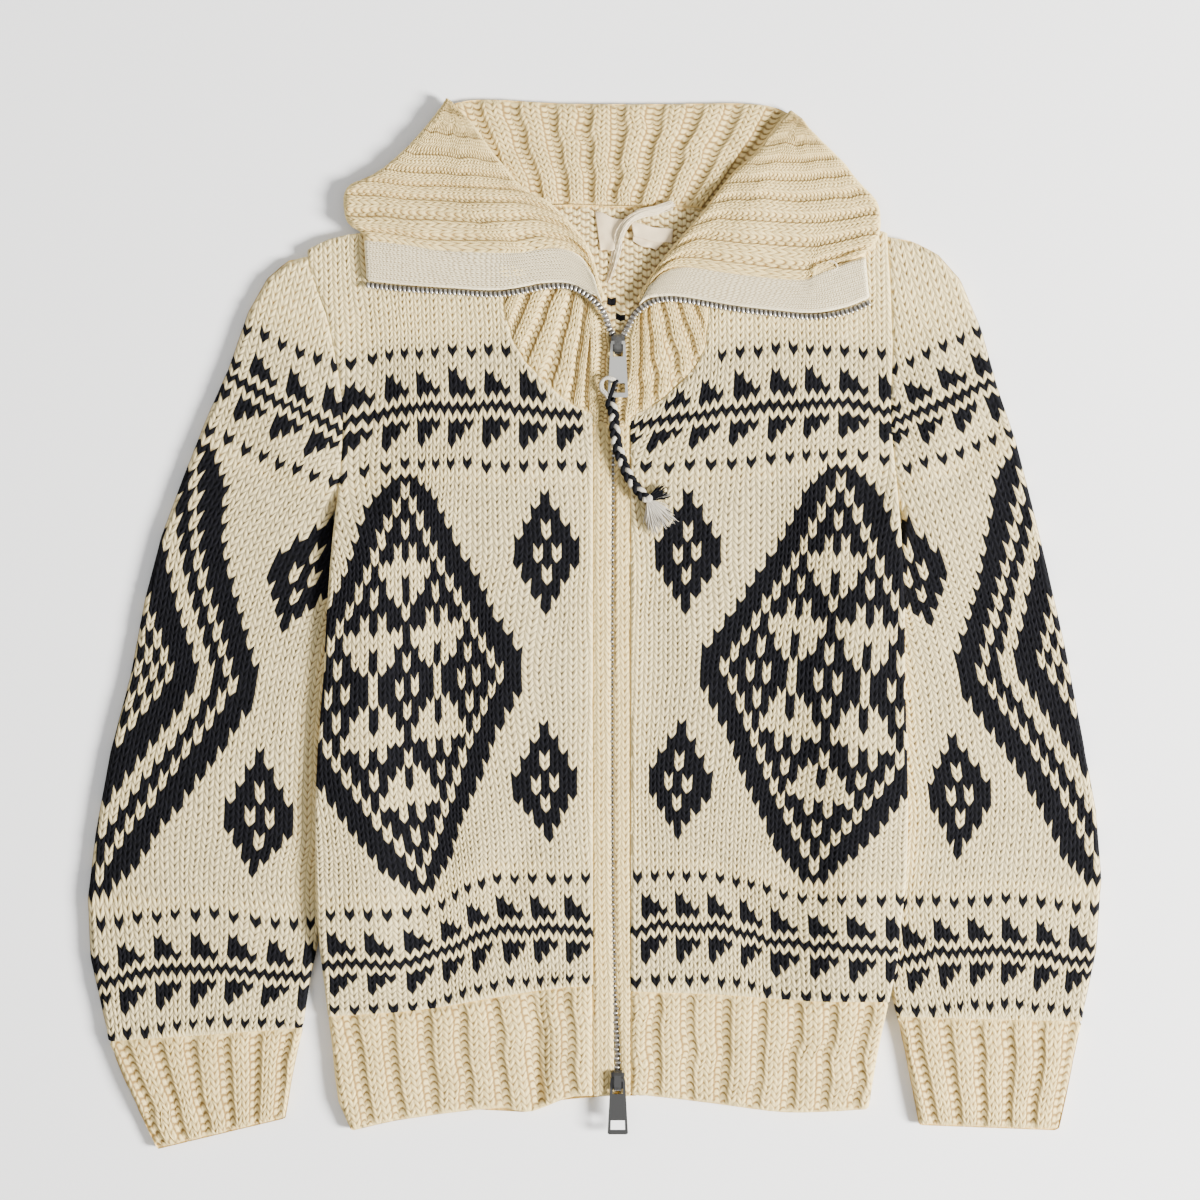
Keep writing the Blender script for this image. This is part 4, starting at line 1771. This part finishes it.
def loop_through_tab():
    """The yarns that tie the braid through the tab's window."""
    parts = []
    for slot, name in enumerate(("tuft_wool", "black_wool")):
        for lean in (-0.55, 0.55):
            stations = [(x + lean, y + 0.6 * lean, z) for x, y, z in TAB_STRANDS[name]]
            parts.append((*strand_along(stations, 1.2), slot))
    yarn_piece("tab_loop", parts, ["tuft_wool", "black_wool"], "top_pull")


def hang_cord():
    centre, length = route_points(150)
    run = np.gradient(centre, axis=0)
    run /= np.linalg.norm(run, axis=1, keepdims=True)
    across = np.cross(run, np.array([0.0, 0.0, 1.0]))
    across /= np.linalg.norm(across, axis=1, keepdims=True)
    s = np.linspace(0, length, len(centre))
    parts = []
    for k in range(3):
        turn = 2 * math.pi * (s / BRAID_TURN + k / 3)
        path = (centre + across * (BRAID_SWING * np.sin(turn))[:, None]
                + np.array([[0.0, 0.0, 1.0]]) * (BRAID_DIP * np.sin(2 * turn))[:, None])
        parts.append((*swept(path, STRAND_RADIUS, 10), 1 if k == 1 else 0))
    tassel = hang_tassel()
    loop_through_tab()
    piece = yarn_piece("braid_cord", parts, ["black_wool", "tuft_wool"], "top_pull",
                       "braid")
    path = [tuple(p * MM) for p in centre[::5]] + [tuple(centre[-1] * MM)]


def tooth_points(x, y, z, across, run, long, wide, high):
    """One cast tooth: a bevelled block on the tape with a rounded head."""
    shape = []
    for level, scale in ((0.0, 1.0), (0.7, 1.0), (1.0, 0.72)):
        for u, v in ((-1, -1), (-0.2, -1), (1, -0.7), (1, 0.7), (-0.2, 1), (-1, 1)):
            shape.append((u * long * 0.5 * scale, v * wide * 0.5 * scale, level * high))
    shape = np.array(shape)
    base = np.array([x, y, z])
    points = (base + shape[:, :1] * across + shape[:, 1:2] * run
              + shape[:, 2:] * np.array([[0.0, 0.0, 1.0]]))
    quads = []
    for level in (0, 6):
        for k in range(6):
            m = (k + 1) % 6
            quads.append((level + k, level + m, level + 6 + m, level + 6 + k))
    quads.append((12, 13, 16, 17))
    quads.append((13, 14, 15, 16))
    quads = np.array(quads)
    uv = 0.5 + shape[quads.ravel()][:, :2] * 0.02
    return points, quads, uv


def lay_teeth(name, node, path, reach, heights, both, body="garment"):
    """Rows of teeth along a path; reach is how far their heads stand from it."""
    fitting = bpy.context.scene.cardigan_zip
    pitch = fitting.tooth_pitch / MM
    path = np.asarray(path, float)
    steps = np.concatenate([[0], np.cumsum(np.linalg.norm(np.diff(path, axis=0), axis=1))])
    count = int(steps[-1] / pitch)
    parts = []
    tape_path = np.column_stack([path, np.interp(steps, *heights) - 0.2])
    parts.append((*swept(tape_path, 1.9, 8, squash=0.32), 1))
    for k in range(count):
        s = (k + 0.5) * pitch
        x = float(np.interp(s, steps, path[:, 0]))
        y = float(np.interp(s, steps, path[:, 1]))
        ahead = np.array([float(np.interp(s + 1, steps, path[:, i])) for i in (0, 1)])
        run = np.array([ahead[0] - x, ahead[1] - y, 0.0])
        run /= max(np.linalg.norm(run), 1e-6)
        across = np.array([-run[1], run[0], 0.0])
        z = float(np.interp(s, *heights))
        side = (1 if k % 2 else -1) if both else reach
        centre = np.array([x, y]) + across[:2] * side * 0.7
        parts.append((*tooth_points(centre[0], centre[1], z, across * -side, run,
                                    4.4, pitch * 0.62, 1.7), 0))
    return yarn_piece(name, parts, ["teeth_metal", "zip_tape"], body, node)


def fit_teeth():
    y = np.linspace(200, -346, 120)
    closed = np.column_stack([zip_x(y), y])
    lay_teeth("zip_closed_teeth", "zip_closed", closed, 1.0, ([0, 600], [6.0, 6.0]), True)
    for side in ("left", "right"):
        table = TEETH_LEFT if side == "left" else TEETH_RIGHT
        u = np.linspace(0.0, 1.0, 90)
        x, y = along(table, u)
        path = np.column_stack([x, y])
        path = np.concatenate([path, [[2.6, 216.5]] if side == "left" else [[7.4, 216.5]]])
        u = np.append(u, 1.0)
        x, y = path.T
        steps = np.concatenate([[0], np.cumsum(np.linalg.norm(np.diff(path, axis=0), axis=1))])
        top = lapel_bed(x, y) + 1.6
        z = top + (7.6 - top) * step_up(0.86, 1.0, u)
        lay_teeth("zip_open_teeth_" + side, "zip_open_" + side, path,
                  -1.0 if side == "left" else 1.0, (steps, z), False)


def fit_sliders():
    for node, finish in (("slider_top", "slider_metal"), ("slider_bottom", "dark_metal"),
                         ("pull_top", "silver_metal"), ("pull_bottom", "dark_metal")):
        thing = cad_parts[node]
        thing.data.materials.clear()
        thing.data.materials.append(finish_of(finish))


# --- stage --------------------------------------------------------------------------------------------

def aim_at(thing, target):
    direction = Vector(target) - thing.location
    thing.rotation_euler = direction.to_track_quat("-Z", "Y").to_euler()


def soft_light(name, place, target, size, power, color=(1.0, 1.0, 1.0)):
    lamp = bpy.data.lights.new(name, "AREA")
    lamp.shape = "DISK"
    lamp.size = size
    lamp.energy = power
    lamp.color = color
    thing = bpy.data.objects.new(name, lamp)
    bpy.context.scene.collection.objects.link(thing)
    thing.location = place
    aim_at(thing, target)


def set_stage_light():
    stage = bpy.context.scene.cardigan_stage
    side, floor_z = 5.0, -0.0004
    mesh = bpy.data.meshes.new("stage_floor")
    mesh.from_pydata([(-side, -side, floor_z), (side, -side, floor_z),
                      (side, side, floor_z), (-side, side, floor_z)], [], [(0, 1, 2, 3)])
    floor = bpy.data.objects.new("stage_floor", mesh)
    bpy.context.scene.collection.objects.link(floor)
    mesh.materials.append(start_material("stage_paper", tuple(stage.floor), 0.9)[0])

    camera = bpy.data.cameras.new("camera")
    camera.lens = 88.0
    camera.sensor_width = 36.0
    eye = bpy.data.objects.new("camera", camera)
    bpy.context.scene.collection.objects.link(eye)
    eye.location = (-0.009, 0.01875, 2.208)
    bpy.context.scene.camera = eye

    soft_light("key", (3.3, -0.8, 2.1), (0, 0, 0), 1.3, stage.key, (1.0, 0.985, 0.96))
    soft_light("fill", (-1.4, 0.9, 2.2), (0, 0, 0), 2.2, stage.fill)
    world = bpy.context.scene.world or bpy.data.worlds.new("world")
    bpy.context.scene.world = world
    world.use_nodes = True
    background = world.node_tree.nodes["Background"]
    background.inputs["Color"].default_value = (1.0, 1.0, 1.0, 1.0)
    background.inputs["Strength"].default_value = stage.ambient


# --- sidebar -------------------------------------------------------------------------------------------

class CardiganKnit(bpy.types.PropertyGroup):
    relief: FloatProperty(
        name="Stitch relief", description="Height of a stitch over the crease beside it",
        default=0.0015, min=0.0003, max=0.003, unit="LENGTH")
    across: IntProperty(
        name="Points across", description="Points across one stitch", default=8, min=4, max=10)
    along: IntProperty(
        name="Points along", description="Points along one stitch", default=3, min=2, max=4)


class CardiganYarn(bpy.types.PropertyGroup):
    cream: FloatVectorProperty(
        name="Cream wool", description="Main wool", subtype="COLOR", size=3, min=0, max=1,
        default=(0.86, 0.70, 0.345))
    dark: FloatVectorProperty(
        name="Black wool", description="Wool of the pattern", subtype="COLOR", size=3,
        min=0, max=1, default=(0.004, 0.004, 0.006))
    tape: FloatVectorProperty(
        name="Facing", description="Fine knitting behind the zip", subtype="COLOR", size=3,
        min=0, max=1, default=(0.93, 0.82, 0.54))


class CardiganZip(bpy.types.PropertyGroup):
    tooth_pitch: FloatProperty(
        name="Tooth pitch", description="From one tooth to the next on the same side",
        default=0.0034, min=0.001, max=0.01, unit="LENGTH")


class CardiganStage(bpy.types.PropertyGroup):
    floor: FloatVectorProperty(
        name="Floor", description="Colour of the floor", subtype="COLOR", size=3, min=0, max=1,
        default=(0.94, 0.94, 0.94))
    key: FloatProperty(name="Key light", description="Power of the main lamp", default=780.0,
                       min=0, unit="POWER")
    fill: FloatProperty(name="Fill light", description="Power of the second lamp", default=18.0,
                        min=0, unit="POWER")
    ambient: FloatProperty(name="Room light", description="Strength of the room's even light",
                           default=0.52, min=0)


class CARDIGAN_OT_set_stage(bpy.types.Operator):
    """Lay out the floor, the lamps and the camera over the cardigan"""
    bl_idname = "cardigan.set_stage"
    bl_label = "Set the stage"

    def execute(self, context):
        set_stage_light()
        return {"FINISHED"}


class CARDIGAN_OT_hang_cord(bpy.types.Operator):
    """Braid the pull cord and tie its tuft"""
    bl_idname = "cardigan.hang_cord"
    bl_label = "Hang the pull cord"

    def execute(self, context):
        hang_cord()
        return {"FINISHED"}


class CARDIGAN_OT_knit_back(bpy.types.Operator):
    """Knit the back panel, pattern outside and purl inside"""
    bl_idname = "cardigan.knit_back"
    bl_label = "Knit the back"

    def execute(self, context):
        sew_back()
        sew_hem_back()
        return {"FINISHED"}


class CARDIGAN_OT_knit_fronts(bpy.types.Operator):
    """Knit both patterned front panels"""
    bl_idname = "cardigan.knit_fronts"
    bl_label = "Knit the fronts"

    def execute(self, context):
        for side in ("left", "right"):
            sew_front(side)
        return {"FINISHED"}


class CARDIGAN_OT_knit_sleeves(bpy.types.Operator):
    """Knit both sleeves and their ribbed cuffs"""
    bl_idname = "cardigan.knit_sleeves"
    bl_label = "Knit the sleeves"

    def execute(self, context):
        for side in ("left", "right"):
            sew_sleeve(side)
            sew_cuff(side)
        return {"FINISHED"}


class CARDIGAN_OT_knit_ribs(bpy.types.Operator):
    """Knit the ribbed hem and the edge bands beside the zip"""
    bl_idname = "cardigan.knit_ribs"
    bl_label = "Knit the hem and bands"

    def execute(self, context):
        for side in ("left", "right"):
            sew_hem(side)
            sew_band(side)
        return {"FINISHED"}


class CARDIGAN_OT_knit_collar(bpy.types.Operator):
    """Knit the collar: its back, its folded-out ends and its foot"""
    bl_idname = "cardigan.knit_collar"
    bl_label = "Knit the collar"

    def execute(self, context):
        sew_collar_back()
        for side in ("left", "right"):
            sew_lapel(side)
            sew_inset(side)
        return {"FINISHED"}


class CARDIGAN_OT_lay_facings(bpy.types.Operator):
    """Lay the fine-knit facings along the open zip"""
    bl_idname = "cardigan.lay_facings"
    bl_label = "Lay the facings"

    def execute(self, context):
        for side in ("left", "right"):
            lay_facing(side)
        return {"FINISHED"}


class CARDIGAN_OT_fit_zip(bpy.types.Operator):
    """Set the zip's teeth and finish its sliders and pull tabs"""
    bl_idname = "cardigan.fit_zip"
    bl_label = "Fit the zip"

    def execute(self, context):
        fit_teeth()
        fit_sliders()
        return {"FINISHED"}


class CARDIGAN_OT_sew_label(bpy.types.Operator):
    """Sew the bare satin strip inside the neck"""
    bl_idname = "cardigan.sew_label"
    bl_label = "Sew the neck strip"

    def execute(self, context):
        sew_label()
        return {"FINISHED"}


OPERATORS = [
    CARDIGAN_OT_set_stage, CARDIGAN_OT_hang_cord, CARDIGAN_OT_knit_back,
    CARDIGAN_OT_knit_fronts, CARDIGAN_OT_knit_sleeves, CARDIGAN_OT_knit_ribs,
    CARDIGAN_OT_knit_collar, CARDIGAN_OT_lay_facings, CARDIGAN_OT_fit_zip,
    CARDIGAN_OT_sew_label,
]
GROUPS = [CardiganKnit, CardiganYarn, CardiganZip, CardiganStage]


class CARDIGAN_PT_panel(bpy.types.Panel):
    """Sizes, colours and the steps of making the cardigan"""
    bl_label = "Cardigan"
    bl_idname = "CARDIGAN_PT_panel"
    bl_space_type = "VIEW_3D"
    bl_region_type = "UI"
    bl_category = "Cardigan"

    def draw(self, context):
        layout = self.layout
        scene = context.scene
        for group in (scene.cardigan_knit, scene.cardigan_yarn, scene.cardigan_zip,
                      scene.cardigan_stage):
            box = layout.box()
            for prop in group.__annotations__:
                box.prop(group, prop)
        for operator in OPERATORS:
            layout.operator(operator.bl_idname)


def register():
    for made in GROUPS + OPERATORS + [CARDIGAN_PT_panel]:
        bpy.utils.register_class(made)
    bpy.types.Scene.cardigan_knit = PointerProperty(type=CardiganKnit)
    bpy.types.Scene.cardigan_yarn = PointerProperty(type=CardiganYarn)
    bpy.types.Scene.cardigan_zip = PointerProperty(type=CardiganZip)
    bpy.types.Scene.cardigan_stage = PointerProperty(type=CardiganStage)


def unregister():
    for name in ("cardigan_knit", "cardigan_yarn", "cardigan_zip", "cardigan_stage"):
        delattr(bpy.types.Scene, name)
    for made in reversed(GROUPS + OPERATORS + [CARDIGAN_PT_panel]):
        bpy.utils.unregister_class(made)


def main():
    register()
    bpy.ops.cardigan.set_stage()
    bpy.ops.cardigan.hang_cord()
    bpy.ops.cardigan.knit_back()
    bpy.ops.cardigan.knit_fronts()
    bpy.ops.cardigan.knit_sleeves()
    bpy.ops.cardigan.knit_ribs()
    bpy.ops.cardigan.knit_collar()
    bpy.ops.cardigan.lay_facings()
    bpy.ops.cardigan.fit_zip()
    bpy.ops.cardigan.sew_label()
    bpy.context.view_layer.update()


if __name__ == "__main__":
    main()
